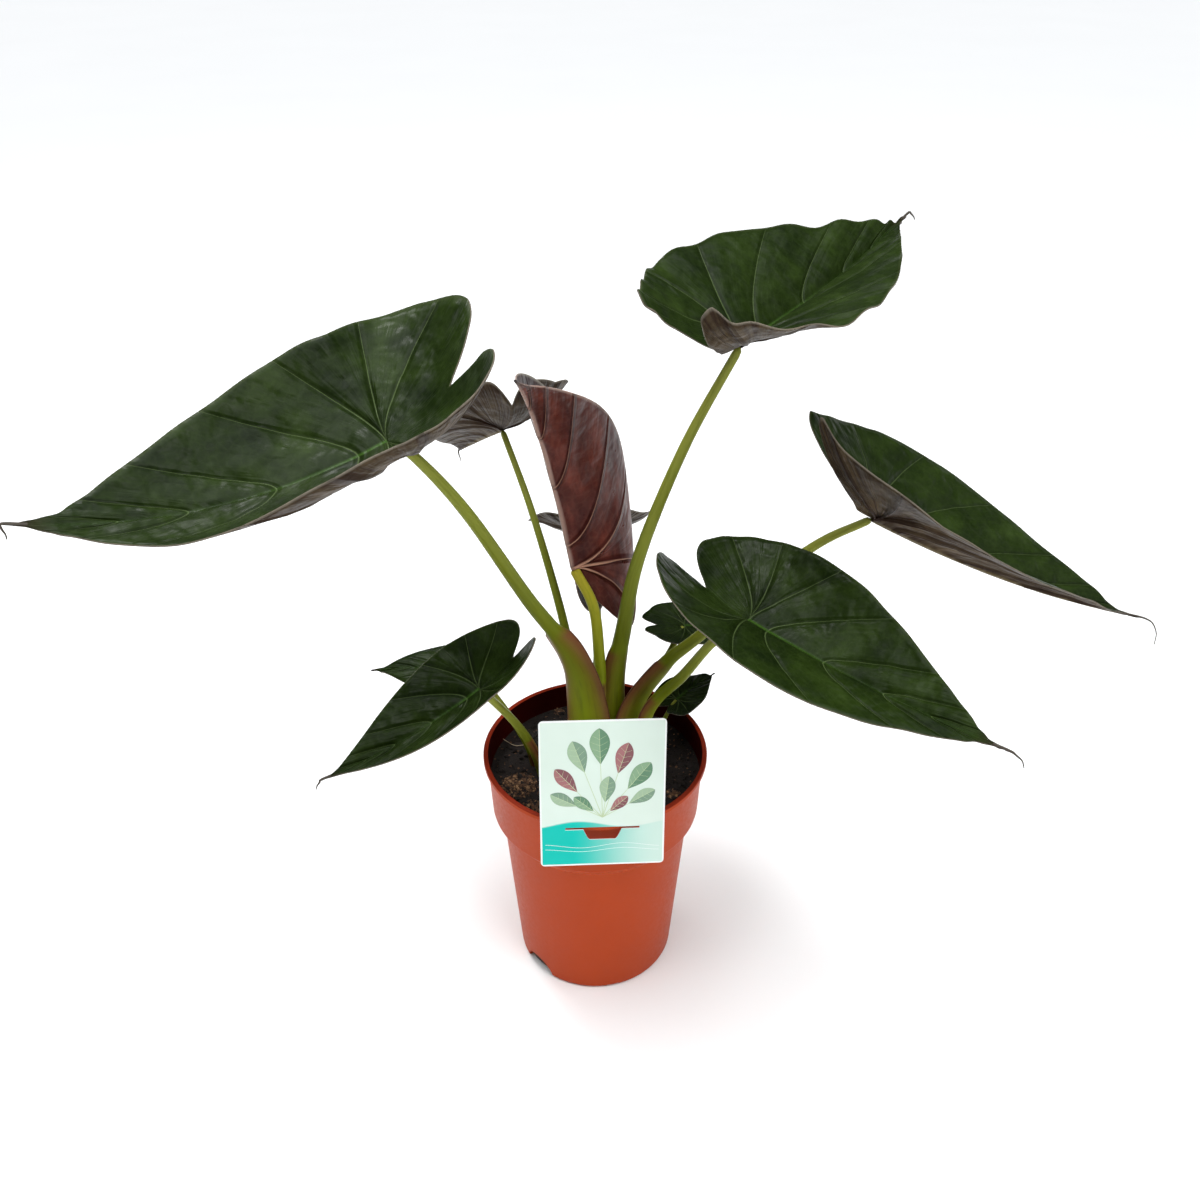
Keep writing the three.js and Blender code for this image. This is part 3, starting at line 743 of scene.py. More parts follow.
# Old stalks: yellow green at the foot, olive above, flushed brown beside the sheath's edges.
GROWN_STALK = StalkSkin(
    name="fleshy_olive_stalk_skin", base="#8fa412", middle="#5f6809", top="#878b3c",
    streak="#4c5410", flush="#74402c", margin="#45261f",
)
# The young leaf's stalk is a brighter yellow green all the way up.
YOUNG_STALK = StalkSkin(
    name="fleshy_bright_stalk_skin", base="#98a722", middle="#8c981a", top="#9a8f2a",
    streak="#6a7614", flush="#8a6a34", margin="#5d3b22",
)
# A leaf's last thread has died back: brown, dull and a little uneven.
DRY_TIP = PlainFinish("dry_brown_drip_tip", "#2e241b", "#3a3222", 2 * MM, 0.6)
# The pot's outside is a warm clay red, its inside is painted a deep red as painted shade,
# and its lip's top is darker.
POT_OUTSIDE = MouldedPlastic("satin_terracotta_polypropylene", "#b3451f", "#aa3f1a", 0.38)
POT_INSIDE = MouldedPlastic("shaded_terracotta_polypropylene", "#3a0604", "#2e0403", 0.5)
POT_LIP = MouldedPlastic("darker_terracotta_lip_top", "#8f2f18", "#7c2412", 0.45)
# Damp peat is nearly black, with few pale specks. Bark and grit are mostly tan.
PEAT = Peat("crumbly_dark_peat", "#0b0604", "#1e130c", "#573b27", 0.03)
GRIT = Peat("tan_bark_grit", "#38261a", "#694a32", "#977453", 0.22)
# A root that has dried on the soil: pale straw.
DRY_ROOT = PlainFinish("dry_pale_root", "#c9b79a", "#b39f80", 3 * MM, 0.7)
# The card's back, edges and tongue: bare white sheet.
CARD_SHEET = PlainFinish("white_card_plastic", "#f4f7f5", "#eef3f0", 20 * MM, 0.4)
# Flat printing inks, a little uneven as a printed tint is.
INKS = {
    ink: PlainFinish(name, colour, cloud, 6 * MM, 0.35) for ink, name, colour, cloud in (
        ("green", "mid_green_ink", "#5f8a6a", "#527d5c"),
        ("green_light", "light_green_ink", "#86a884", "#799d79"),
        ("sage", "sage_ink", "#7b9a80", "#6c8c76"),
        ("sage_light", "pale_sage_ink", "#a2bd9c", "#94b090"),
        ("wine", "wine_ink", "#82494e", "#733f48"),
        ("wine_light", "rose_ink", "#a56a6a", "#965d60"),
        ("line", "pale_vein_ink", "#c3d6a8", "#b5ca9c"),
        ("white", "white_ink", "#fbfdfc", "#f4f8f6"),
    )
}
# The floor: matt paper that takes a soft shadow.
BACKDROP = PlainFinish("matt_white_backdrop_paper", "#f4f4f3", "#f7f7f6", 0.5, 0.9)


# Leaves


def add_thread(bm: bmesh.types.BMesh, route: list[Vector], thick: float, thin: float) -> None:
    """Adds a round thread that follows a route and tapers.

    Args:
        bm: the mesh that it is added to.
        route: the points it passes through.
        thick: radius at its start.
        thin: radius at its end.
    """
    rings, sides, last, step = 40, 8, len(route) - 1, 0.05
    aside = Vector((0.3, 1.0, 0.1))  # no thread runs this way
    grid = bmesh.ops.create_grid(bm, x_segments=rings, y_segments=sides, size=0.5)
    for vert in grid["verts"]:
        s = clamp(vert.co.x + 0.5)
        angle = 2 * math.pi * (vert.co.y + 0.5)
        ahead = smooth_point(route, min(s * last + step, last))
        behind = smooth_point(route, max(s * last - step, 0.0))
        tangent = (ahead - behind).normalized()
        across = aside.cross(tangent).normalized()
        radius = thick + (thin - thick) * s
        spoke = across * math.cos(angle) + across.cross(tangent) * math.sin(angle)
        vert.co = smooth_point(route, s * last) + spoke * radius
    bmesh.ops.remove_doubles(bm, verts=bm.verts, dist=WELD / 2)
    bmesh.ops.holes_fill(bm, edges=bm.edges, sides=sides)
    bmesh.ops.recalc_face_normals(bm, faces=bm.faces)


@dataclass(frozen=True)
class Half:
    """One half of a blade: how it folds at the midrib and the edge, in degrees, and its lobe.

    tip_share is how much of the fold is left at the tip, lobe how long the lobe is beside the
    usual one, curl how far it folds further, in degrees, and point how pointed it is, up to 1.
    """

    root_fold: float
    edge_fold: float
    tip_share: float = 1.0
    lobe: float = 1.0
    curl: float = 0.0
    point: float = 0.0


@dataclass(frozen=True)
class Blade:
    """An arrow-shaped blade that hangs from its joint with the stalk.

    heading, pitch and roll turn the blade, in degrees. bow is how far the midrib has drooped by
    the tip, lift how far the lobes have risen, and twist how far the tip is turned. notch and
    back scale the depth of the notch and the width of the lobes. hair is the way that the dry
    drip tip takes from the blade's tip, in millimetres of the plant's frame.
    """

    joint: tuple[float, float, float]
    heading: float
    pitch: float
    roll: float
    length: float
    width: float
    bow: float
    lift: float
    twist: float
    notch: float
    back: float
    wave: float
    ripple: float
    near: Half
    far: Half
    hair: tuple[tuple[float, float, float], ...] = ()
    detail: Detail = Detail.LARGE
    hair_start: float = 0.45
    hair_thick: float = 0.95 * MM
    hair_thin: float = 0.28 * MM

    def half(self, side: int) -> Half:
        """Returns the half on one side: 1 is left of the midrib and -1 is right."""
        return self.near if side > 0 else self.far

    def edge_point(self, side: int, row: float) -> tuple[float, float]:
        """Finds a point of the blade's edge, in units of its length.

        Args:
            side: 1 or -1.
            row: position on the outline, from 0 at the tip to OUTLINE_END at the notch.

        Returns:
            How far along and across the blade it lies.
        """
        along, across = smooth_point(HALF_OUTLINE, row)
        across *= self.width
        half = self.half(side)
        if along < 0:
            across *= 1 + (self.back - 1) * clamp(-along / BACK_REACH)
            across *= 1 - SIDE_DRAWN * half.point * bump((row - LOBE_SIDE) / SIDE_SPREAD)
            inward = clamp((row - LOBE_END) / (OUTLINE_END - LOBE_END))
            along *= half.lobe + (self.notch - half.lobe) * inward
            along *= 1 + POINT_DRAWN * half.point * bump((row - LOBE_POINT) / POINT_SPREAD)
        return along, across

    def flat_point(self, side: int, row: float, share: float) -> tuple[float, float]:
        """Finds a point of the unfolded blade, in units of its length.

        Args:
            side: 1 or -1.
            row: the vein that the point lies on, by its end on the outline.
            share: how far along the vein it is, from 0 at the midrib to 1 at the edge.

        Returns:
            How far along and across the blade it lies.
        """
        edge_along, edge_across = self.edge_point(side, row)
        start = clamp((edge_along - FAN) / (1 - FAN)) ** VEIN_SWEEP
        return start + (edge_along - start) * share ** VEIN_CURVE, edge_across * share

    def axes(self) -> tuple[Vector, Vector, Vector]:
        """Works out how the blade is turned.

        Returns:
            Its axes: towards the tip, to its left, and out of its upper face.
        """
        pitch, roll = math.radians(self.pitch), math.radians(self.roll)
        forward = heading_vector(self.heading) * math.cos(pitch)
        forward.z = math.sin(pitch)
        level = heading_vector(self.heading) * -math.sin(pitch)
        level.z = math.cos(pitch)
        up = level * math.cos(roll) + level.cross(forward) * math.sin(roll)
        return forward, up.cross(forward), up

    def local_point(self, side: int, row: float, share: float) -> Vector:
        """Finds a point of the folded, bowed and twisted blade in the blade's own axes.

        Args:
            side: 1 or -1.
            row: the vein that the point lies on, by its end on the outline.
            share: how far along the vein it is.

        Returns:
            The point, in metres.
        """
        half = self.half(side)
        along, across = self.flat_point(side, row, share)
        to_tip = 1 + (half.tip_share - 1) * clamp(along)
        to_lobe = clamp(-along / HALF_WIDTH, 0.0, LOBE_CURL_END)
        root_fold = math.radians(half.root_fold * to_tip + half.curl * to_lobe * ROOT_CURL)
        edge_fold = math.radians(half.edge_fold * to_tip + half.curl * to_lobe)
        out, rise = arc(root_fold, (edge_fold - root_fold) / (HALF_WIDTH * self.width), across)
        twist = math.radians(self.twist) * along
        sideways = side * out * math.cos(twist) - rise * math.sin(twist)
        raised = side * out * math.sin(twist) + rise * math.cos(twist)
        direction = 1 if along > 0 else -1
        bend = -math.radians(self.bow) if along > 0 else math.radians(self.lift) / HALF_WIDTH
        forward, up = arc(0.0, bend, abs(along))
        slope = direction * bend * abs(along)
        point = Vector((
            direction * forward - raised * math.sin(slope),
            sideways,
            up + raised * math.cos(slope),
        )) * self.length
        point.z += self.relief(side, row, share, (along * self.length, across * self.length))
        return point

    def relief(self, side: int, row: float, share: float, flat: tuple[float, float]) -> float:
        """Finds how far the surface stands off its smooth form.

        Args:
            side: 1 or -1.
            row: the vein that the point lies on.
            share: how far along the vein it is.
            flat: the point of the unfolded blade, in metres.

        Returns:
            The height of the edge's waves, the swelling between veins and the midrib's groove.
        """
        inside = clamp(min(row, OUTLINE_END - row) / WAVE_START)
        wave = self.wave * math.sin(WAVE_RATE * row + side)
        uneven = RIPPLE_MEAN + noise.noise(Vector((0.8 * row, 3.0 * side, self.heading)))
        ripple = uneven * self.ripple * math.cos(2 * math.pi * row)
        swell = 2 * math.sin(math.pi * between_veins(row)) ** QUILT_ROUND - 1
        quilt = QUILT * swell * math.sin(math.pi * share ** QUILT_LEAN) * vein_share(row)
        quilt *= LOBE_QUILT + (1 - LOBE_QUILT) * clamp((QUILT_END - row) / QUILT_FADE)
        groove = GROOVE * bump(flat[1] / GROOVE_WIDTH) * clamp(row / GROOVE_FADE)
        place = Vector((flat[0], side * flat[1], 0.01 * self.heading))
        pucker = PUCKER * noise.noise(place / PUCKER_SIZE) * clamp(4 * share * (1 - share))
        edge = (wave + ripple) * share ** 3 * inside
        return edge + (quilt + pucker - groove) * self.size_share()

    def size_share(self) -> float:
        """Returns how much of a large blade's thickness and relief this one has."""
        return clamp(self.length / FULL_LENGTH)

    def placed(self, local: Vector) -> Vector:
        """Returns a point of the blade's own axes in the plant's frame."""
        forward, left, up = self.axes()
        return Vector(self.joint) + forward * local.x + left * local.y + up * local.z

    def build_hair(self, name: str, finish: bpy.types.Material) -> None:
        """Builds the thin dry thread that the blade's tip ends in.

        Args:
            name: the leaf's name.
            finish: its material.
        """
        root = self.placed(self.local_point(1, self.hair_start, 0.0))
        tip = self.placed(self.local_point(1, 0.0, 1.0))
        bm = bmesh.new()
        route = [root, tip, *(tip + Vector(step) * MM for step in self.hair)]
        add_thread(bm, route, self.hair_thick, self.hair_thin)
        finish_piece(bm, "drip_tip_" + name, [finish])

    def build(self, name: str, upper: bpy.types.Material, under: bpy.types.Material) -> None:
        """Builds the blade as a piece that replaces its solid.

        Args:
            name: the leaf's name.
            upper: material of the upper face.
            under: material of the underside.
        """
        bm = bmesh.new()
        flat, lines, spot = (
            bm.verts.layers.float_vector.new(layer) for layer in ("flat", "lines", "spot")
        )
        weights = bm.verts.layers.deform.verify()
        forward, left, up = self.axes()
        joint = Vector(self.joint)
        rows_each, columns = self.detail.value
        crowding = 1.15  # the columns stand closer near the midrib
        for side in (1, -1):
            grid = bmesh.ops.create_grid(
                bm, x_segments=OUTLINE_END * rows_each, y_segments=columns, size=0.5,
            )
            for vert in grid["verts"]:
                row = (vert.co.x + 0.5) * OUTLINE_END
                share = clamp(vert.co.y + 0.5) ** crowding
                along, across = self.flat_point(side, row, share)
                local = self.local_point(side, row, share)
                nearest = min(VEIN_ROWS, key=lambda vein: abs(vein - row))
                on_vein = self.flat_point(side, nearest, share)
                off_vein = math.hypot(on_vein[0] - along, on_vein[1] - across) * self.length
                off_rib = across * self.length if along > 0 else 1.0
                vert[lines] = (off_vein, off_rib, share)
                vert[spot] = (along, clamp((along - TIP_START) / TIP_FADE), row)
                vert[flat] = (along * self.length, side * across * self.length, self.heading)
                vert[weights][0] = self.thickness(row, share, along) / THICKEST
                vert.co = joint + forward * local.x + left * local.y + up * local.z
        bmesh.ops.remove_doubles(bm, verts=bm.verts, dist=WELD)
        bmesh.ops.dissolve_degenerate(bm, edges=bm.edges, dist=WELD)
        bmesh.ops.recalc_face_normals(bm, faces=bm.faces)
        facing = sum((face.normal * face.calc_area() for face in bm.faces), Vector())
        if facing.dot(up) < 0:
            bmesh.ops.reverse_faces(bm, faces=bm.faces)
        piece = finish_piece(bm, "leaf_blade_" + name, [upper, under], ("blade_" + name,), 180)
        wall = piece.modifiers.new("wall", "SOLIDIFY")
        wall.thickness = THICKEST
        wall.offset = -1.0
        wall.vertex_group = piece.vertex_groups.new(name="thickness").name
        wall.thickness_vertex_group = 0.0
        wall.use_quality_normals = True
        wall.material_offset = 1
        wall.material_offset_rim = 1
        apply_modifiers(piece)

    def thickness(self, row: float, share: float, along: float) -> float:
        """Finds the blade's thickness, which is greatest along the midrib and the veins.

        Args:
            row: the vein that the point lies on.
            share: how far along the vein it is.
            along: how far along the blade it is, in units of its length.

        Returns:
            The thickness, in metres.
        """
        midrib = (1 - RIB_TAPER * clamp(along)) * clamp(1 - share * RIB_SLOPE)
        off_vein = min(abs(vein - row) for vein in VEIN_ROWS)
        vein = VEIN_THICK * (1 - share) * clamp(1 - off_vein * VEIN_SLOPE) * vein_share(row)
        return THINNEST + (THICKEST - THINNEST) * self.size_share() * max(midrib, vein)


def vein_share(row: float) -> float:
    """Returns how strong the side veins are at a row: they fade at the tip and the notch."""
    return clamp((row - VEINS_START) / VEINS_FADE) * clamp((VEINS_END - row) / VEINS_FADE)


def between_veins(row: float) -> float:
    """Finds a row's place between two side veins.

    Args:
        row: position on the outline.

    Returns:
        How far it lies from one vein to the next, from 0 to 1.
    """
    rows = (0.0, *VEIN_ROWS, float(OUTLINE_END))
    for below, above in zip(rows, rows[1:]):
        if row <= above:
            return clamp((row - below) / (above - below))
    return 1.0


@dataclass(frozen=True)
class Stalk:
    """A leaf stalk that widens into an open sheath at its foot.

    points run from the base to just short of the joint. thin and thick are its radii at the two
    ends, faces is the heading of its rounded back, flare how much wider the open sheath is, and
    sheath the share of the stalk that it takes. The last fields are shares of the stalk's length,
    or angles in radians where their names say so.
    """

    points: tuple[tuple[float, float, float], ...]
    thin: float
    thick: float
    faces: float
    flare: float
    sheath: float
    joint_gap: float = 1.0 * MM
    taper: float = 1.3
    end_round: float = 0.012
    split_length: float = 0.02
    ear_length: float = 0.09
    ear_angle: float = 0.3
    edge_past_middle_angle: float = 0.2
    edge_line_angle: float = 0.13
    flush_angle: float = 1.2
    flush_start: float = 0.07
    pattern_length: float = 0.3

    def off_sheath_edge(self, angle: float) -> float:
        """Returns the angle from a place on the skin to the nearer edge of the open sheath."""
        edges = (-self.edge_past_middle_angle, math.pi + self.edge_past_middle_angle)
        return min(abs(math.remainder(angle - edge, 2 * math.pi)) for edge in edges)

    def build(self, name: str, joint: Vector, skin: bpy.types.Material) -> None:
        """Builds the stalk as a piece that replaces its solid.

        Args:
            name: the leaf's name.
            joint: where the stalk meets the blade.
            skin: the stalk's material.
        """
        route = [Vector(point) for point in self.points]
        route.append(joint - (joint - route[-1]).normalized() * self.joint_gap)
        last = len(route) - 1
        back = heading_vector(self.faces)
        rings, sides, step = 110, 40, 0.02
        bm = bmesh.new()
        skin_layer = bm.verts.layers.float_vector.new("skin")
        flat = bm.verts.layers.float_vector.new("flat")
        grid = bmesh.ops.create_grid(bm, x_segments=rings, y_segments=sides, size=0.5)
        for vert in grid["verts"]:
            s = clamp(vert.co.x + 0.5)
            angle = 2 * math.pi * (vert.co.y + 0.5)
            place = s * (last - self.end_round)
            centre = smooth_point(route, place)
            ahead = smooth_point(route, min(place + step, last))
            behind = smooth_point(route, max(place - step, 0.0))
            tangent = (ahead - behind).normalized()
            outward = (back - tangent * back.dot(tangent)).normalized()
            across = outward.cross(tangent)
            radius = self.thin + (self.thick - self.thin) * (1 - s) ** self.taper
            to_end = self.sheath - s
            open_share = math.sqrt(clamp(to_end / self.sheath))
            rounded = math.sqrt(clamp((1 - s) / self.end_round))
            off_edge = self.off_sheath_edge(angle)
            split = clamp(to_end / self.split_length)
            ear = split * bump(off_edge / self.ear_angle) * (0.1 + 0.3 * bump(to_end / self.ear_length))
            radius *= 1 + ear * (self.flare - 1)
            side_way = math.cos(angle) * radius * (1 + (self.flare - 1) * open_share) * rounded
            out_way = math.sin(angle) * radius * rounded
            edge_line = split * bump(off_edge / self.edge_line_angle)
            flush = 0.9 * split * bump(off_edge / self.flush_angle) * clamp(s / self.flush_start)
            vert[skin_layer] = (s, flush, 0.8 * edge_line)
            vert[flat] = (
                math.cos(angle) * radius, math.sin(angle) * radius, s * self.pattern_length,
            )
            vert.co = centre + across * side_way + outward * out_way
        bmesh.ops.remove_doubles(bm, verts=bm.verts, dist=WELD / 2)
        bmesh.ops.holes_fill(bm, edges=bm.edges, sides=sides + 4)
        bmesh.ops.recalc_face_normals(bm, faces=bm.faces)
        finish_piece(bm, "leaf_stalk_" + name, [skin], ("stalk_" + name,), 60)


@dataclass(frozen=True)
class Leaf:
    """A leaf: its blade, its stalk and its age."""

    name: str
    blade: Blade
    stalk: Stalk
    age: Age = Age.GROWN

    def build(self, finishes: dict[str, bpy.types.Material]) -> None:
        """Builds the blade and the stalk.

        Args:
            finishes: the leaf materials by name.
        """
        rolled = self.age is Age.ROLLED
        faces = ("rolled_top", "rolled_under") if rolled else ("top", "under")
        self.blade.build(self.name, *(finishes[face] for face in faces))
        if self.blade.hair:
            self.blade.build_hair(self.name, finishes["tip"])
        skin = finishes["young_stalk" if rolled else "stalk"]
        self.stalk.build(self.name, Vector(self.blade.joint), skin)


LEAVES = (
    Leaf(
        "left",
        Blade(
            joint=(-0.115, -0.089, 0.497), heading=203.0, pitch=-21.0, roll=10.0,
            length=0.202, width=1.08, bow=-40.0, lift=48.0, twist=-18.0,
            notch=1.15, back=1.28, wave=1.1 * MM, ripple=0.4 * MM,
            near=Half(5.0, 63.0, tip_share=1.44, lobe=1.14, curl=-22.0),
            far=Half(4.0, 46.0, tip_share=1.44, lobe=1.01, curl=-33.0),
            hair=((-1, 0, -3), (0, 0, -6), (0, 0, -9)),
        ),
        Stalk(
            ((-0.002, -0.01, 0.168), (-0.006, -0.011, 0.25), (-0.016, -0.014, 0.296),
             (-0.044, -0.03, 0.353), (-0.076, -0.065, 0.437), (-0.1, -0.086, 0.484)),
            thin=2.5 * MM, thick=8.4 * MM, faces=250.0, flare=2.3, sheath=0.42,
        ),
    ),
    Leaf(
        "right_high",
        Blade(
            joint=(0.185, -0.007, 0.403), heading=6.0, pitch=-31.0, roll=18.0,
            length=0.236, width=0.92, bow=-13.0, lift=26.0, twist=4.0,
            notch=0.3, back=0.94, wave=0.9 * MM, ripple=0.3 * MM,
            near=Half(52.0, 40.0, tip_share=1.01, lobe=0.87, curl=-5.0, point=0.2),
            far=Half(19.0, -3.0, tip_share=0.74, lobe=0.96, curl=12.0, point=0.8),
            hair=((6, 0, -2), (12, 0, -6), (17, 0, -15), (18, 0, -25)),
        ),
        Stalk(
            ((0.026, -0.002, 0.168), (0.026, -0.004, 0.237), (0.05, -0.003, 0.28),
             (0.074, 0.002, 0.301), (0.143, -0.001, 0.373)),
            thin=2.7 * MM, thick=7.6 * MM, faces=315.0, flare=2.3, sheath=0.42,
        ),
    ),
    Leaf(
        "top",
        Blade(
            joint=(0.089, -0.012, 0.525), heading=51.0, pitch=4.0, roll=9.0,
            length=0.218, width=0.96, bow=-10.0, lift=37.0, twist=6.0,
            notch=0.5, back=0.94, wave=1.2 * MM, ripple=1.9 * MM,
            near=Half(55.0, 25.0, tip_share=0.85, lobe=0.95, curl=2.0, point=0.2),
            far=Half(20.0, 5.0, tip_share=1.22, lobe=1.04, curl=12.0, point=0.5),
            hair=((2, 0, -1), (4, 0, -3), (5, 0, -5)),
        ),
        Stalk(
            ((0.015, 0.002, 0.168), (0.013, 0.001, 0.253), (0.02, 0.0, 0.307),
             (0.03, -0.002, 0.369), (0.057, -0.007, 0.453)),
            thin=2.7 * MM, thick=8.6 * MM, faces=300.0, flare=1.5, sheath=0.35,
        ),
    ),
    Leaf(
        "right_low",
        Blade(
            joint=(0.099, -0.06, 0.358), heading=-47.0, pitch=-3.0, roll=8.0,
            length=0.186, width=0.9, bow=-8.0, lift=25.0, twist=27.0,
            notch=1.02, back=1.06, wave=0.5 * MM, ripple=0.4 * MM,
            near=Half(25.0, 60.0, tip_share=0.79, lobe=0.97, curl=-16.0),
            far=Half(9.0, 19.0, tip_share=0.65, lobe=0.94, curl=6.0),
            hair=((3, -1, -2), (7, -1, -6), (9, -1, -11)),
        ),
        Stalk(
            ((0.031, -0.015, 0.168), (0.037, -0.018, 0.245), (0.062, -0.03, 0.291),
             (0.079, -0.044, 0.328)),
            thin=2.8 * MM, thick=5.2 * MM, faces=310.0, flare=1.6, sheath=0.35,
        ),
    ),
    Leaf(
        "rolled",
        Blade(
            joint=(-0.015, 0.009, 0.355), heading=172.0, pitch=80.0, roll=-100.0,
            length=0.217, width=0.9, bow=61.0, lift=-29.0, twist=10.0,
            notch=0.3, back=1.0, wave=0.5 * MM, ripple=0.0,
            near=Half(3.0, 91.0, tip_share=0.44, lobe=0.7, curl=22.0),
            far=Half(79.0, 153.0, lobe=0.6),
        ),
        Stalk(
            ((0.005, -0.001, 0.168), (0.004, -0.004, 0.258), (0.003, -0.002, 0.288),
             (-0.001, 0.003, 0.326)),
            thin=3.6 * MM, thick=5.0 * MM, faces=200.0, flare=1.2, sheath=0.3,
        ),
        Age.ROLLED,
    ),
    Leaf(
        "left_low",
        Blade(
            joint=(-0.076, -0.068, 0.308), heading=211.0, pitch=-24.0, roll=15.0,
            length=0.118, width=0.85, bow=-27.0, lift=32.0, twist=-2.0,
            notch=1.27, back=0.92, wave=0.0, ripple=0.0,
            near=Half(29.0, 58.0, tip_share=0.73, lobe=1.22, curl=-2.0),
            far=Half(24.0, 42.0, tip_share=0.95, lobe=1.12, curl=14.0),
            hair=((-1, 0, -2), (-3, 0, -5), (-4, 0, -8)),
        ),
        Stalk(
            ((-0.036, -0.006, 0.162), (-0.045, -0.014, 0.207), (-0.057, -0.03, 0.248)),
            thin=2.6 * MM, thick=4.4 * MM, faces=215.0, flare=1.35, sheath=0.5,
        ),
    ),
    Leaf(
        "back_left",
        Blade(
            joint=(-0.071, 0.127, 0.407), heading=114.0, pitch=-29.0, roll=34.0,
            length=0.146, width=1.0, bow=3.0, lift=22.0, twist=-19.0,
            notch=2.1, back=1.2, wave=1.5 * MM, ripple=0.0,
            near=Half(67.0, 30.0),
            far=Half(-32.0, 11.0, lobe=1.07, curl=7.0),
            hair=((0, 0, -4), (1, 0, -8), (1, 0, -11)),
            detail=Detail.SMALL,
        ),
        Stalk(
            ((0.0, 0.012, 0.168), (-0.015, 0.015, 0.253), (-0.025, 0.028, 0.306),
             (-0.047, 0.074, 0.365)),
            thin=2.3 * MM, thick=4.4 * MM, faces=130.0, flare=1.3, sheath=0.3,
        ),
    ),
    Leaf(
        "back",
        Blade(
            joint=(-0.004, 0.12, 0.32), heading=88.0, pitch=-30.0, roll=0.0,
            length=0.14, width=1.0, bow=5.0, lift=20.0, twist=0.0,
            notch=1.0, back=0.95, wave=1.0 * MM, ripple=0.0,
            near=Half(11.0, 12.0),
            far=Half(15.0, 25.0),
            detail=Detail.SMALL,
        ),
        Stalk(
            ((0.008, 0.018, 0.168), (0.002, 0.024, 0.238), (0.002, 0.038, 0.267),
             (0.001, 0.066, 0.295)),
            thin=2.4 * MM, thick=4.4 * MM, faces=90.0, flare=1.3, sheath=0.3,
        ),
    ),
    Leaf(
        "back_right",
        Blade(
            joint=(0.07, 0.075, 0.262), heading=8.0, pitch=-6.0, roll=-6.0,
            length=0.072, width=1.0, bow=6.0, lift=4.0, twist=0.0,
            notch=1.5, back=1.0, wave=0.6 * MM, ripple=0.0,
            near=Half(5.0, 10.0),
            far=Half(2.0, 8.0),
            detail=Detail.SMALL,
        ),
        Stalk(
            ((0.024, 0.013, 0.168), (0.034, 0.024, 0.22), (0.054, 0.048, 0.247)),
            thin=2.2 * MM, thick=4.0 * MM, faces=45.0, flare=1.3, sheath=0.3,
        ),
    ),
    Leaf(
        "small_right",
        Blade(
            joint=(0.064, 0.042, 0.214), heading=45.0, pitch=12.0, roll=0.0,
            length=0.046, width=1.15, bow=20.0, lift=20.0, twist=0.0,
            notch=1.0, back=0.95, wave=1.0 * MM, ripple=0.0,
            near=Half(5.0, 15.0),
            far=Half(5.0, 0.0),
            detail=Detail.SMALL,
        ),
        Stalk(
            ((0.044, 0.014, 0.165), (0.05, 0.022, 0.198), (0.058, 0.034, 0.21)),
            thin=1.3 * MM, thick=2.2 * MM, faces=20.0, flare=1.2, sheath=0.3,
        ),
    ),
    Leaf(
        "left_behind",
        Blade(
            joint=(-0.09, 0.01, 0.267), heading=176.0, pitch=2.0, roll=25.0,
            length=0.08, width=0.95, bow=20.0, lift=10.0, twist=0.0,
            notch=0.7, back=0.9, wave=1.0 * MM, ripple=0.0,
            near=Half(12.0, 20.0, lobe=0.65),
            far=Half(-12.0, -18.0, lobe=0.65),
            detail=Detail.SMALL,
        ),
        Stalk(
            ((-0.045, 0.007, 0.162), (-0.051, 0.003, 0.198), (-0.068, 0.003, 0.236)),
            thin=2.1 * MM, thick=3.4 * MM, faces=170.0, flare=1.2, sheath=0.3,
        ),
    ),
)


# Pot


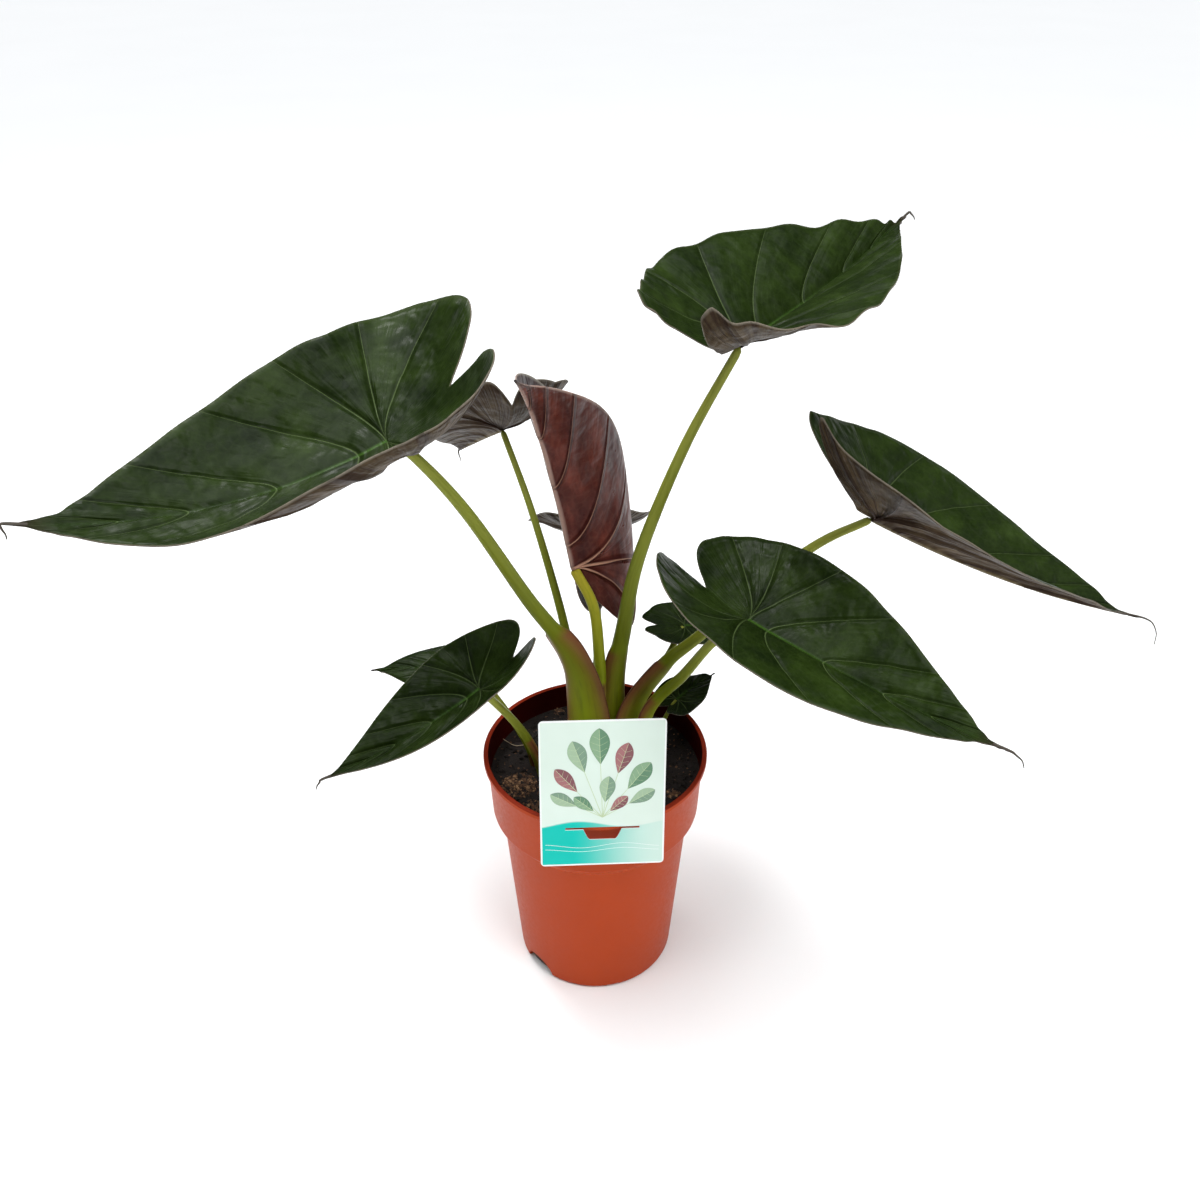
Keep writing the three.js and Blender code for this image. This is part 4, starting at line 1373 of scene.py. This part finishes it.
@dataclass(frozen=True)
class Pot:
    """A moulded nursery pot: tapering body, slanted step, wider collar and rolled lip."""

    height: float = 0.2
    lip_radius: float = 0.085
    lip_depth: float = 4 * MM
    lip_round: float = 1.0 * MM
    mouth_radius: float = 0.0815
    collar_top_radius: float = 0.082
    collar_foot_radius: float = 0.08
    collar_foot: float = 0.15
    step_foot: float = 0.14
    body_top_radius: float = 0.0725
    foot_radius: float = 0.0626
    foot_edge: float = 4 * MM
    wall: float = 1.4 * MM
    floor: float = 2.5 * MM
    recess_radius: float = 0.015
    recess_depth: float = 0.0115
    recess_headings: tuple[float, float] = (-138.0, 42.0)
    slot_size: tuple[float, float, float] = (0.012, 0.01, 0.006)
    slot_headings: tuple[float, float] = (-77.0, 103.0)
    dark_top_depth: float = 0.75 * MM
    sides: int = 144

    def outer_profile(self) -> list[tuple[float, float]]:
        """Works out the outside of the pot, with the step's and the collar's edges softened.

        Returns:
            The outline as radius and height, from the axis up and back.
        """
        foot = [
            (self.foot_radius - self.foot_edge * (1 - math.sin(a)), self.foot_edge * (1 - math.cos(a)))
            for a in (math.pi / 2 * i / 6 for i in range(7))
        ]
        lip_foot = self.height - self.lip_depth
        lip = [
            (self.lip_radius - self.lip_round * (1 - math.cos(a)),
             self.height - self.lip_round * (1 - math.sin(a)))
            for a in (math.pi / 2 * i / 4 for i in range(5))
        ]
        return [
            (0.0, 0.0),
            *foot,
            (self.body_top_radius - 0.1 * MM, self.step_foot - 1.5 * MM),
            (self.body_top_radius + 0.3 * MM, self.step_foot),
            (self.body_top_radius + 1.2 * MM, self.step_foot + 1.0 * MM),
            (self.collar_foot_radius - 1.2 * MM, self.collar_foot - 2.0 * MM),
            (self.collar_foot_radius - 0.3 * MM, self.collar_foot - 0.8 * MM),
            (self.collar_foot_radius, self.collar_foot + 0.5 * MM),
            (self.collar_top_radius, lip_foot - 1.0 * MM),
            (self.collar_top_radius + 0.4 * MM, lip_foot - 0.1 * MM),
            (self.lip_radius - 0.5 * MM, lip_foot),
            (self.lip_radius, lip_foot + 0.6 * MM),
            *lip,
            (self.mouth_radius + 0.8 * MM, self.height),
            (self.mouth_radius + 0.2 * MM, self.height - 0.3 * MM),
            (0.0, self.height - 0.3 * MM),
        ]

    def inside_profile(self, shrink: float, top: float) -> list[tuple[float, float]]:
        """Finds the hollow of the pot, or the filling that fits it.

        Args:
            shrink: clearance to the wall.
            top: height of the filling.

        Returns:
            The outline as radius and height, from the axis up and back.
        """
        inset = self.wall + shrink
        collar = self.collar_foot_radius - inset
        widening = self.mouth_radius - shrink - collar
        share = (top - self.collar_foot) / (self.height - self.collar_foot)
        return [
            (0.0, self.floor + shrink),
            (self.foot_radius - self.foot_edge - inset, self.floor + shrink),
            (self.foot_radius - inset, self.floor + self.foot_edge + shrink),
            (self.body_top_radius - inset, self.step_foot),
            (collar, self.collar_foot),
            (collar + widening * share, top),
            (0.0, top),
        ]

    def at_foot(self, heading: float) -> Matrix:
        """Returns the transform to the edge of the foot at a heading in degrees."""
        turn = Matrix.Rotation(math.radians(heading), 4, "Z")
        return Matrix.Translation(heading_vector(heading) * self.foot_radius) @ turn

    def arch(self, heading: float, grow: float) -> bmesh.types.BMesh:
        """Makes the round-topped block that one recess of the foot is cut by.

        Args:
            heading: where on the foot it is, in degrees.
            grow: how far it is enlarged all round.

        Returns:
            The closed mesh.
        """
        bm = bmesh.new()
        radius = self.recess_radius + grow
        bmesh.ops.create_cone(
            bm, cap_ends=True, segments=48, radius1=radius, radius2=radius,
            depth=2 * self.recess_depth + 2 * grow,
        )
        place = self.at_foot(heading) @ Matrix.Rotation(math.pi / 2, 4, "Y")
        bmesh.ops.transform(bm, matrix=place, verts=bm.verts)
        return bm

    def slot(self, heading: float) -> bmesh.types.BMesh:
        """Makes the block that one drain slot is cut by.

        Args:
            heading: where on the foot it is, in degrees.

        Returns:
            The closed mesh.
        """
        bm = bmesh.new()
        bmesh.ops.create_cube(bm, size=1.0)
        bmesh.ops.scale(bm, vec=self.slot_size, verts=bm.verts)
        bmesh.ops.transform(bm, matrix=self.at_foot(heading), verts=bm.verts)
        return bm

    def cut(self, bm: bmesh.types.BMesh, cutters: list[bmesh.types.BMesh]) -> bmesh.types.BMesh:
        """Cuts closed meshes out of another.

        Args:
            bm: the mesh that is cut; it is freed.
            cutters: the meshes to take away; they are freed.

        Returns:
            What is left.
        """
        stock = linked_object(bm, "helper")
        tools = [linked_object(cutter, "helper") for cutter in cutters]
        for tool in tools:
            cut = stock.modifiers.new("cut", "BOOLEAN")
            cut.operation = "DIFFERENCE"
            cut.object = tool
            cut.solver = "EXACT"
        apply_modifiers(stock)
        result = bmesh.new()
        result.from_mesh(stock.data)
        for helper in [stock, *tools]:
            mesh = helper.data
            bpy.data.objects.remove(helper)
            bpy.data.meshes.remove(mesh)
        return result

    def build(self, plastic: bpy.types.Material, painted_shade_inside: bpy.types.Material,
              rim: bpy.types.Material) -> None:
        """Builds the pot as a piece that replaces its solid.

        Args:
            plastic: material of the outside.
            painted_shade_inside: material of the inside, painted darker as painted shade.
            rim: material of the lip's top, which is darker.
        """
        over = 1 * MM  # the hollow reaches this far out of the mouth
        hollow = turned(self.inside_profile(0.0, self.height + over), self.sides)
        hollow = self.cut(hollow, [self.arch(h, self.wall) for h in self.recess_headings])
        cutters = [hollow, *(self.arch(h, 0.0) for h in self.recess_headings)]
        cutters += [self.slot(h) for h in self.slot_headings]
        shell = self.cut(turned(self.outer_profile(), self.sides), cutters)
        bmesh.ops.remove_doubles(shell, verts=shell.verts, dist=WELD / 2)
        for face in shell.faces:
            middle = face.calc_center_median()
            inward = face.normal.x * middle.x + face.normal.y * middle.y < 0
            # Inward faces above the step take the inside's material, painted darker as painted shade.
            face.material_index = int(inward and middle.z > self.step_foot)
            # A thin band at the lip's top takes the darker lip material.
            if middle.z > self.height - self.dark_top_depth:
                face.material_index = 2
        finish_piece(shell, "pot_shell", [plastic, painted_shade_inside, rim], ("pot",), 35)


# Soil and stem


@dataclass(frozen=True)
class Soil:
    """The potting soil: a crumbly bed that fills the pot, loose crumbs, grit and a dry root.

    A patch is the middle and the radius of a spot where tan bark lies. The root's places are
    given across, along and how far over the soil, the last in millimetres.
    """

    pot: Pot
    top: float = 0.18
    clearance: float = 0.3 * MM
    lump: float = 2.2 * MM
    lump_size: float = 22 * MM
    crumb_size: float = 5 * MM
    crumb_share: float = 0.35
    rings: int = 30
    seed: int = 5
    crumbs: int = 1500
    grains: int = 160
    patch_grains: int = 520
    crumb_radii: tuple[float, float] = (0.7 * MM, 2.6 * MM)
    grain_radii: tuple[float, float] = (0.3 * MM, 1.0 * MM)
    bark_radii: tuple[float, float] = (0.4 * MM, 1.7 * MM)
    patches: tuple[tuple[float, float, float], ...] = (
        (-0.0575, -0.02, 0.016), (-0.03, 0.068, 0.006), (-0.045, -0.045, 0.009), (0.058, -0.03, 0.007),
    )
    root: tuple[tuple[float, float, float], ...] = (
        (-0.0775, 0.0345, 5), (-0.0718, 0.0318, 2), (-0.0634, 0.0245, 1.2), (-0.0556, 0.0256, 1),
        (-0.05, 0.022, 0.5),
    )

    def level(self, x: float, y: float) -> float:
        """Finds the height of the soil's surface.

        Args:
            x: the place across.
            y: the place along.

        Returns:
            The height there.
        """
        coarse = noise.noise(Vector((x, y, 0.2)) / self.lump_size)
        fine = noise.noise(Vector((x, y, 0.7)) / self.crumb_size)
        return self.top + self.lump * (coarse + self.crumb_share * fine)

    def radius(self) -> float:
        """Returns the radius of the soil's surface."""
        return self.pot.inside_profile(self.clearance, self.top)[-2][0]

    def build(self, finishes: dict[str, bpy.types.Material]) -> None:
        """Builds the bed, the crumbs, the grit and the root.

        Args:
            finishes: the materials named peat, grit and root.
        """
        profile = self.pot.inside_profile(self.clearance, self.top)
        bm = turned(profile[:-1], self.pot.sides)
        rim = [edge for edge in bm.edges if edge.is_boundary]
        bmesh.ops.holes_fill(bm, edges=rim, sides=0)
        top_faces = [face for face in bm.faces if len(face.verts) > 8]
        for _ in range(self.rings):
            bmesh.ops.inset_region(
                bm, faces=top_faces, thickness=self.radius() / (self.rings + 1), use_even_offset=True,
            )
        for vert in bm.verts:
            reach = math.hypot(vert.co.x, vert.co.y)
            if vert.co.z > self.top - 0.1 * MM and reach < self.radius() - 0.5 * MM:
                vert.co.z = self.level(vert.co.x, vert.co.y)
        bmesh.ops.recalc_face_normals(bm, faces=bm.faces)
        peat, grit = finishes["peat"], finishes["grit"]
        finish_piece(bm, "soil_bed", [peat], ("soil",), 50)
        whole = (0.0, 0.0, self.radius())
        self.scatter("soil_crumbs", self.crumbs, self.crumb_radii, whole, peat)
        self.scatter("soil_grit", self.grains, self.grain_radii, whole, grit)
        for number, patch in enumerate(self.patches):
            grains = int(self.patch_grains * (patch[2] / self.patches[0][2]) ** 2)
            self.scatter(f"tan_bark_{number}", grains, self.bark_radii, patch, grit)
        self.build_root(finishes["root"])

    def scatter(self, name: str, count: int, radii: tuple[float, float],
                spot: tuple[float, float, float], finish: bpy.types.Material) -> None:
        """Scatters rough lumps over a round spot of the soil.

        Args:
            name: the piece's name.
            count: how many lumps there are.
            radii: radius of the smallest and of the largest lump.
            spot: middle and radius of the spot.
            finish: their material.
        """
        rough, long, wide, high, seat = (0.7, 1.2), (0.7, 1.5), (0.6, 1.0), 0.7, 0.25
        draw = random.Random(self.seed + count)
        bm = bmesh.new()
        small, large = radii
        for _ in range(count):
            radius = small + (large - small) * draw.random() ** 3
            reach = (spot[2] - 2 * radius) * math.sqrt(draw.random())
            angle = 2 * math.pi * draw.random()
            x, y = spot[0] + reach * math.cos(angle), spot[1] + reach * math.sin(angle)
            lump = bmesh.ops.create_icosphere(bm, subdivisions=1, radius=radius)
            for vert in lump["verts"]:
                vert.co *= draw.uniform(*rough)
            shape = Matrix.Diagonal((draw.uniform(*long), draw.uniform(*wide), high, 1.0))
            turn = Matrix.Rotation(draw.uniform(0, math.pi), 4, "Z")
            place = Matrix.Translation((x, y, self.level(x, y) + seat * radius))
            bmesh.ops.transform(bm, matrix=place @ turn @ shape, verts=lump["verts"])
        finish_piece(bm, name, [finish], (), 20)

    def build_root(self, finish: bpy.types.Material) -> None:
        """Builds the thin pale root that hangs over the soil at the left.

        Args:
            finish: its material.
        """
        route = [Vector((x, y, self.level(x, y) + above * MM)) for x, y, above in self.root]
        bm = bmesh.new()
        add_thread(bm, route, 0.28 * MM, 0.2 * MM)
        finish_piece(bm, "dry_root", [finish])


@dataclass(frozen=True)
class Stem:
    """The short ringed stem that the stalks grow from.

    foot_share is how wide it is at its foot beside its middle. From shoulder up it rounds over.
    """

    x: float = 0.011
    radius: float = 0.013
    bottom: float = 0.146
    top: float = 0.184
    foot_share: float = 0.6
    shoulder: float = 0.7
    rings: int = 7
    ring_depth: float = 0.05
    steps: int = 56
    sides: int = 48

    def build(self, skin: bpy.types.Material) -> None:
        """Builds the stem as a piece that replaces its solid.

        Args:
            skin: its material.
        """
        points = [(0.0, self.bottom)]
        for i in range(self.steps + 1):
            s = i / self.steps
            past = clamp((s - self.shoulder) / (1 - self.shoulder))
            shape = min(1.0, self.foot_share + 1.6 * s) * math.sqrt(1 - past ** 2)
            ring = 1 - self.ring_depth * abs(math.sin(math.pi * self.rings * s))
            points.append((self.radius * shape * ring, self.bottom + (self.top - self.bottom) * s))
        bm = turned(points, self.sides, self.x)
        finish_piece(bm, "short_stem", [skin], ("stem",))


# Card


@dataclass(frozen=True)
class Sprig:
    """A printed leaf on its stalk; it leans right by lean degrees."""

    ink: str
    lean: float
    stalk: float
    length: float
    width: float


SPRIGS = (
    Sprig("sage", -62.0, 0.020, 0.021, 5.0 * MM),
    Sprig("sage", 60.0, 0.021, 0.021, 5.0 * MM),
    Sprig("wine", -40.0, 0.027, 0.024, 5.5 * MM),
    Sprig("green", 38.0, 0.028, 0.026, 6.5 * MM),
    Sprig("sage", -19.0, 0.038, 0.026, 6.5 * MM),
    Sprig("wine", 17.0, 0.036, 0.025, 6.0 * MM),
    Sprig("green", -2.0, 0.042, 0.028, 7.0 * MM),
    Sprig("green", -50.0, 0.008, 0.018, 4.5 * MM),
    Sprig("wine", 47.0, 0.007, 0.017, 4.0 * MM),
    Sprig("sage", 8.0, 0.012, 0.021, 5.5 * MM),
)


def add_line(bm: bmesh.types.BMesh, start: Vector, end: Vector, width: float) -> None:
    """Adds a straight printed line, just over the print under it.

    Args:
        bm: the mesh that it is added to.
        start: its first end.
        end: its other end.
        width: its width.
    """
    over = Vector((0.0, 0.0, 0.008 * MM))
    side = (end - start).normalized().cross(Vector((0.0, 0.0, 1.0))) * width / 2
    corners = (start - side, start + side, end + side * 0.7, end - side * 0.7)
    bm.faces.new([bm.verts.new(corner + over) for corner in corners])


def extruded(bm: bmesh.types.BMesh, faces: list[bmesh.types.BMFace], way: Vector) -> list:
    """Extrudes faces by one step.

    Args:
        bm: their mesh.
        faces: the faces.
        way: how far and which way.

    Returns:
        The new points.
    """
    made = bmesh.ops.extrude_face_region(bm, geom=faces)
    moved = [item for item in made["geom"] if isinstance(item, bmesh.types.BMVert)]
    bmesh.ops.translate(bm, vec=way, verts=moved)
    return moved


def face_up(bm: bmesh.types.BMesh) -> None:
    """Turns every face of a flat mesh to look up.

    Args:
        bm: the mesh.
    """
    for polygon in bm.faces:
        polygon.normal_update()
        if polygon.normal.z < 0:
            polygon.normal_flip()


@dataclass(frozen=True)
class Card:
    """The care card: a printed plastic plate with a tongue that hooks over the pot's lip.

    It is drawn flat, y up from the pot's rim. The tongue is cut from the window under the slot.
    """

    pot: Pot
    width: float = 0.087
    height: float = 0.115
    corner: float = 3 * MM
    thickness: float = 0.6 * MM
    lean: float = 11.0
    turn: float = 3.6
    roll: float = -0.8
    clearance: float = 0.3 * MM
    above_rim: float = 0.084
    slot_width: float = 0.052
    slot_height: float = 1.8 * MM
    window_top: float = 0.027
    window_foot: float = 0.018
    window_height: float = 0.01
    window_corner: float = 1.5 * MM
    hook_width: float = 0.024
    hook_reach: float = 6.6 * MM
    hook_drop: float = 9 * MM
    hook_bend: float = 1.0 * MM
    hook_inner_bend: float = 0.6 * MM
    spray_foot: float = 8 * MM
    print_step: float = 0.015 * MM

    def place(self) -> Matrix:
        """Works out how the card hangs.

        Returns:
            The transform from the card's plane, y up from the rim, to the plant's frame.
        """
        front = Matrix.Translation((0, -self.pot.lip_radius - self.clearance, self.pot.height))
        return (
            Matrix.Rotation(math.radians(self.turn), 4, "Z")
            @ front
            @ Matrix.Rotation(math.radians(90 - self.lean), 4, "X")
            @ Matrix.Rotation(math.radians(self.roll), 4, "Z")
        )

    def outline(self) -> list[tuple[float, float]]:
        """Works out the plate's rounded outline.

        Returns:
            Its points, across and up from the rim.
        """
        low, high = self.above_rim - self.height, self.above_rim
        points = []
        corners = (
            (self.width / 2, high, 0), (-self.width / 2, high, 90),
            (-self.width / 2, low, 180), (self.width / 2, low, 270),
        )
        for x, y, start in corners:
            centre_x = x - math.copysign(self.corner, x)
            centre_y = y - (self.corner if y == high else -self.corner)
            for i in range(9):
                angle = math.radians(start + 90 * i / 8)
                points.append((
                    centre_x + self.corner * math.cos(angle), centre_y + self.corner * math.sin(angle),
                ))
        return points

    def opening(self) -> list[tuple[float, float]]:
        """Works out the slot and the window under it.

        Returns:
            Their one outline, across and up from the rim.
        """
        shoulder, foot, corner = -self.slot_height, -self.window_height, self.window_corner
        return [
            (self.slot_width / 2, 0.0), (-self.slot_width / 2, 0.0),
            (-self.slot_width / 2, shoulder), (-self.window_top / 2, shoulder),
            (-self.window_foot / 2 - corner, foot + corner), (-self.window_foot / 2, foot),
            (self.window_foot / 2, foot), (self.window_foot / 2 + corner, foot + corner),
            (self.window_top / 2, shoulder), (self.slot_width / 2, shoulder),
        ]

    def build(self, face: bpy.types.Material, body: bpy.types.Material,
              inks: dict[str, bpy.types.Material]) -> None:
        """Builds the plate with its tongue, and the printed leaves.

        Args:
            face: material of the printed face.
            body: material of the back, the edges and the tongue.
            inks: materials of the printed leaves.
        """
        bm = bmesh.new()
        place = bm.verts.layers.float_vector.new("print")
        edges = []
        for loop in (self.outline(), self.opening()):
            verts = [bm.verts.new((x, y, self.thickness)) for x, y in loop]
            edges += [bm.edges.new(pair) for pair in zip(verts, verts[1:] + verts[:1])]
        bmesh.ops.triangle_fill(bm, use_beauty=True, edges=edges, normal=(0, 0, 1))
        face_up(bm)
        extruded(bm, list(bm.faces), Vector((0, 0, -self.thickness)))
        bmesh.ops.recalc_face_normals(bm, faces=bm.faces)
        for vert in bm.verts:
            vert[place] = vert.co
        for polygon in bm.faces:
            polygon.material_index = 0 if polygon.normal.z > 0.9 else 1
        self.add_tongue(bm)
        bmesh.ops.transform(bm, matrix=self.place(), verts=bm.verts)
        finish_piece(bm, "care_card_plate", [face, body], ("care_card",), 30)
        self.build_motif(inks)

    def add_tongue(self, bm: bmesh.types.BMesh) -> None:
        """Adds the tongue that bends back over the lip and hangs inside the pot.

        Args:
            bm: the plate's mesh.
        """
        slant = math.tan(math.radians(self.lean))
        reach, bend, inner = self.hook_reach, self.hook_bend, self.hook_inner_bend
        under = 2 * self.clearance
        over = under + self.thickness
        foot = reach + self.hook_drop * slant
        within = reach - self.thickness
        outline = [
            (self.thickness * 0.5, under), (self.thickness * 0.5, over),
            (-reach + bend, over + (reach - bend) * slant), (-reach, over + reach * slant - bend),
            (-foot, -self.hook_drop), (-foot + self.thickness, -self.hook_drop),
            (-within, under + within * slant - inner), (-within + inner, under + within * slant),
        ]
        verts = [bm.verts.new((-self.hook_width / 2, y, z)) for z, y in outline]
        moved = extruded(bm, [bm.faces.new(verts)], Vector((self.hook_width, 0, 0)))
        tongue = {polygon for vert in verts + moved for polygon in vert.link_faces}
        bmesh.ops.recalc_face_normals(bm, faces=list(tongue))
        for polygon in tongue:
            polygon.material_index = 1

    def build_motif(self, inks: dict[str, bpy.types.Material]) -> None:
        """Prints a spray of simple leaves and two waves, a hair's breadth proud of the card.

        Args:
            inks: materials by name; each leaf has the inks NAME and NAME_light.
        """
        meshes = {ink: bmesh.new() for ink in inks}
        for layer, sprig in enumerate(SPRIGS):
            self.print_sprig(meshes, sprig, self.print_step * (layer + 1))
        for height, swing in ((-15.0, 1.6), (-18.5, 1.2)):
            self.print_wave(meshes["white"], height * MM, swing * MM)
        for ink, bm in meshes.items():
            face_up(bm)
            bmesh.ops.triangulate(bm, faces=[f for f in bm.faces if len(f.verts) > 4])
            bmesh.ops.translate(bm, vec=(0, 0, self.thickness + 0.02 * MM), verts=bm.verts)
            bmesh.ops.transform(bm, matrix=self.place(), verts=bm.verts)
            finish_piece(bm, "card_print_" + ink, [inks[ink]])

    def print_sprig(self, meshes: dict[str, bmesh.types.BMesh], sprig: Sprig, layer: float) -> None:
        """Prints one leaf with its stalk, midrib and side veins.

        Args:
            meshes: the mesh of each ink.
            sprig: the leaf.
            layer: how far it lies over the card.
        """
        way = Vector((math.sin(math.radians(sprig.lean)), math.cos(math.radians(sprig.lean)), 0.0))
        across = Vector((way.y, -way.x, 0.0))
        foot = Vector((0.0, self.spray_foot, layer))
        base = foot + way * sprig.stalk
        steps, fullness = 24, 0.75  # a lower fullness puts the leaf's widest place nearer its tip
        for side in (1, -1):
            edge = []
            for i in range(steps + 1):
                s = i / steps
                half = sprig.width * math.sin(math.pi * (1 - s) ** fullness)
                edge.append(base + way * sprig.length * s + across * half * side)
            bm = meshes[sprig.ink if side > 0 else sprig.ink + "_light"]
            bm.faces.new([bm.verts.new(point) for point in edge])
        lines = meshes["line"]
        tip = base + way * sprig.length * 0.97
        add_line(lines, foot, base, 0.45 * MM)
        add_line(lines, base, tip, 0.32 * MM)
        for i in range(4):
            s = 0.18 + 0.17 * i
            start = base + way * sprig.length * s
            half = 0.8 * sprig.width * math.sin(math.pi * (0.9 - s) ** fullness)
            for side in (1, -1):
                end = start + way * sprig.length * 0.1 + across * half * side
                add_line(lines, start, end, 0.16 * MM)

    def print_wave(self, bm: bmesh.types.BMesh, height: float, swing: float) -> None:
        """Prints a thin wave across the card's foot.

        Args:
            bm: the mesh that it is added to.
            height: its height over the rim.
            swing: how far it goes up and down.
        """
        steps, reach, bend = 40, 0.46 * self.width, 9 * MM
        points = []
        for i in range(steps + 1):
            x = reach * (2 * i / steps - 1)
            points.append(Vector((x, height + swing * math.sin(x / bend), 0.0)))
        for start, end in zip(points, points[1:]):
            add_line(bm, start, end, 0.3 * MM)


# Studio


@dataclass(frozen=True)
class Studio:
    """A plain pale floor, soft lights and the camera.

    The world glows only from high up, so that the glossy leaves mirror no haze, with a pale band
    low down behind the floor. A lamp is its name, place, side and power in watts.
    """

    floor_size: float = 40.0
    camera_place: tuple[float, float, float] = (0.00365, -0.6757, 0.7688)
    camera_pitch: float = 32.78
    lens: float = 34.5
    sensor: float = 36.0
    sky: str = "#f6f8fb"
    zenith: float = 5.5
    steepness: float = 8.0
    horizon: float = 0.95
    ground: float = 0.035
    band_height: float = 0.25
    aim: tuple[float, float, float] = (0.0, 0.0, 0.3)
    lamps: tuple[tuple[str, tuple[float, float, float], float, float], ...] = (
        ("key", (-0.9, -0.5, 2.2), 1.0, 11.0),
        ("front", (0.8, -1.1, 2.0), 0.9, 18.0),
        ("back", (-0.8, 0.9, 1.9), 0.55, 17.0),
        ("fill", (1.6, -0.3, 1.5), 1.4, 5.0),
    )

    def build(self) -> None:
        """Builds the floor, the world light, the lamps and the camera."""
        bm = bmesh.new()
        bmesh.ops.create_grid(bm, x_segments=1, y_segments=1, size=self.floor_size / 2)
        floor = linked_object(bm, "floor")
        floor.data.materials.append(BACKDROP.material())
        self.build_world()
        for lamp in self.lamps:
            self.build_lamp(*lamp)
        bpy.context.scene.view_settings.view_transform = "Standard"

        camera = bpy.data.objects.new("camera", bpy.data.cameras.new("camera"))
        camera.data.lens = self.lens
        camera.data.sensor_width = self.sensor
        camera.location = self.camera_place
        camera.rotation_euler = (math.radians(90 - self.camera_pitch), 0.0, 0.0)
        bpy.context.scene.collection.objects.link(camera)
        bpy.context.scene.camera = camera

    def build_world(self) -> None:
        """Builds the world's light."""
        world = bpy.data.worlds.new("studio")
        bpy.context.scene.world = world
        world.use_nodes = True
        tree = world.node_tree
        node = partial(add_node, tree)
        sky = tree.nodes["Background"]
        sky.inputs["Color"].default_value = linear(self.sky)
        place = node("TexCoord").outputs["Generated"]
        height = node("SeparateXYZ", links={0: place}).outputs["Z"]
        above = node("Math", {"operation": "MAXIMUM", 1: 0.0}, {0: height})
        steep = node("Math", {"operation": "POWER", 1: self.steepness}, {0: above})
        band = node(
            "MapRange", {"From Max": self.band_height, "To Min": self.horizon, "To Max": self.ground},
            {"Value": height},
        )
        glow = node("Math", {"operation": "MULTIPLY_ADD", 1: self.zenith}, {0: steep, 2: band})
        tree.links.new(glow.outputs[0], sky.inputs["Strength"])

    def build_lamp(self, name: str, place: tuple[float, float, float], size: float,
                   power: float) -> None:
        """Adds a soft square lamp that points at the plant.

        Args:
            name: the lamp's name.
            place: where it hangs.
            size: its side.
            power: its power, in watts.
        """
        light = bpy.data.lights.new(name, "AREA")
        light.size = size
        light.energy = power
        lamp = bpy.data.objects.new(name, light)
        lamp.location = place
        way = Vector(self.aim) - Vector(place)
        lamp.rotation_euler = way.to_track_quat("-Z", "Y").to_euler()
        bpy.context.scene.collection.objects.link(lamp)


def main() -> None:
    """Builds the studio, the pot, the stem, the soil, the leaves and the card in order."""
    logging.basicConfig(level=logging.INFO, format="%(name)s: %(message)s")
    Studio().build()
    pot = Pot()
    pot.build(POT_OUTSIDE.material(), POT_INSIDE.material(), POT_LIP.material())
    Stem().build(GROWN_STALK.material())
    Soil(pot).build({
        "peat": PEAT.material(), "grit": GRIT.material(), "root": DRY_ROOT.material(),
    })
    leaf_finishes = {
        "top": GROWN_TOP.material(),
        "under": GROWN_UNDER.material(),
        "rolled_top": ROLLED_TOP.material(),
        "rolled_under": ROLLED_UNDER.material(),
        "stalk": GROWN_STALK.material(),
        "young_stalk": YOUNG_STALK.material(),
        "tip": DRY_TIP.material(),
    }
    for leaf in LEAVES:
        leaf.build(leaf_finishes)
    card = Card(pot)
    print_face = CardPrint(
        "glossy_mint_print", "#d3e4d7", "#deece3", "#00c0b2", "#eff3f0",
        card.width / 2, card.height / 2, card.above_rim - card.height / 2,
    )
    inks = {ink: finish.material() for ink, finish in INKS.items()}
    card.build(print_face.material(), CARD_SHEET.material(), inks)


if __name__ == "__main__":
    main()
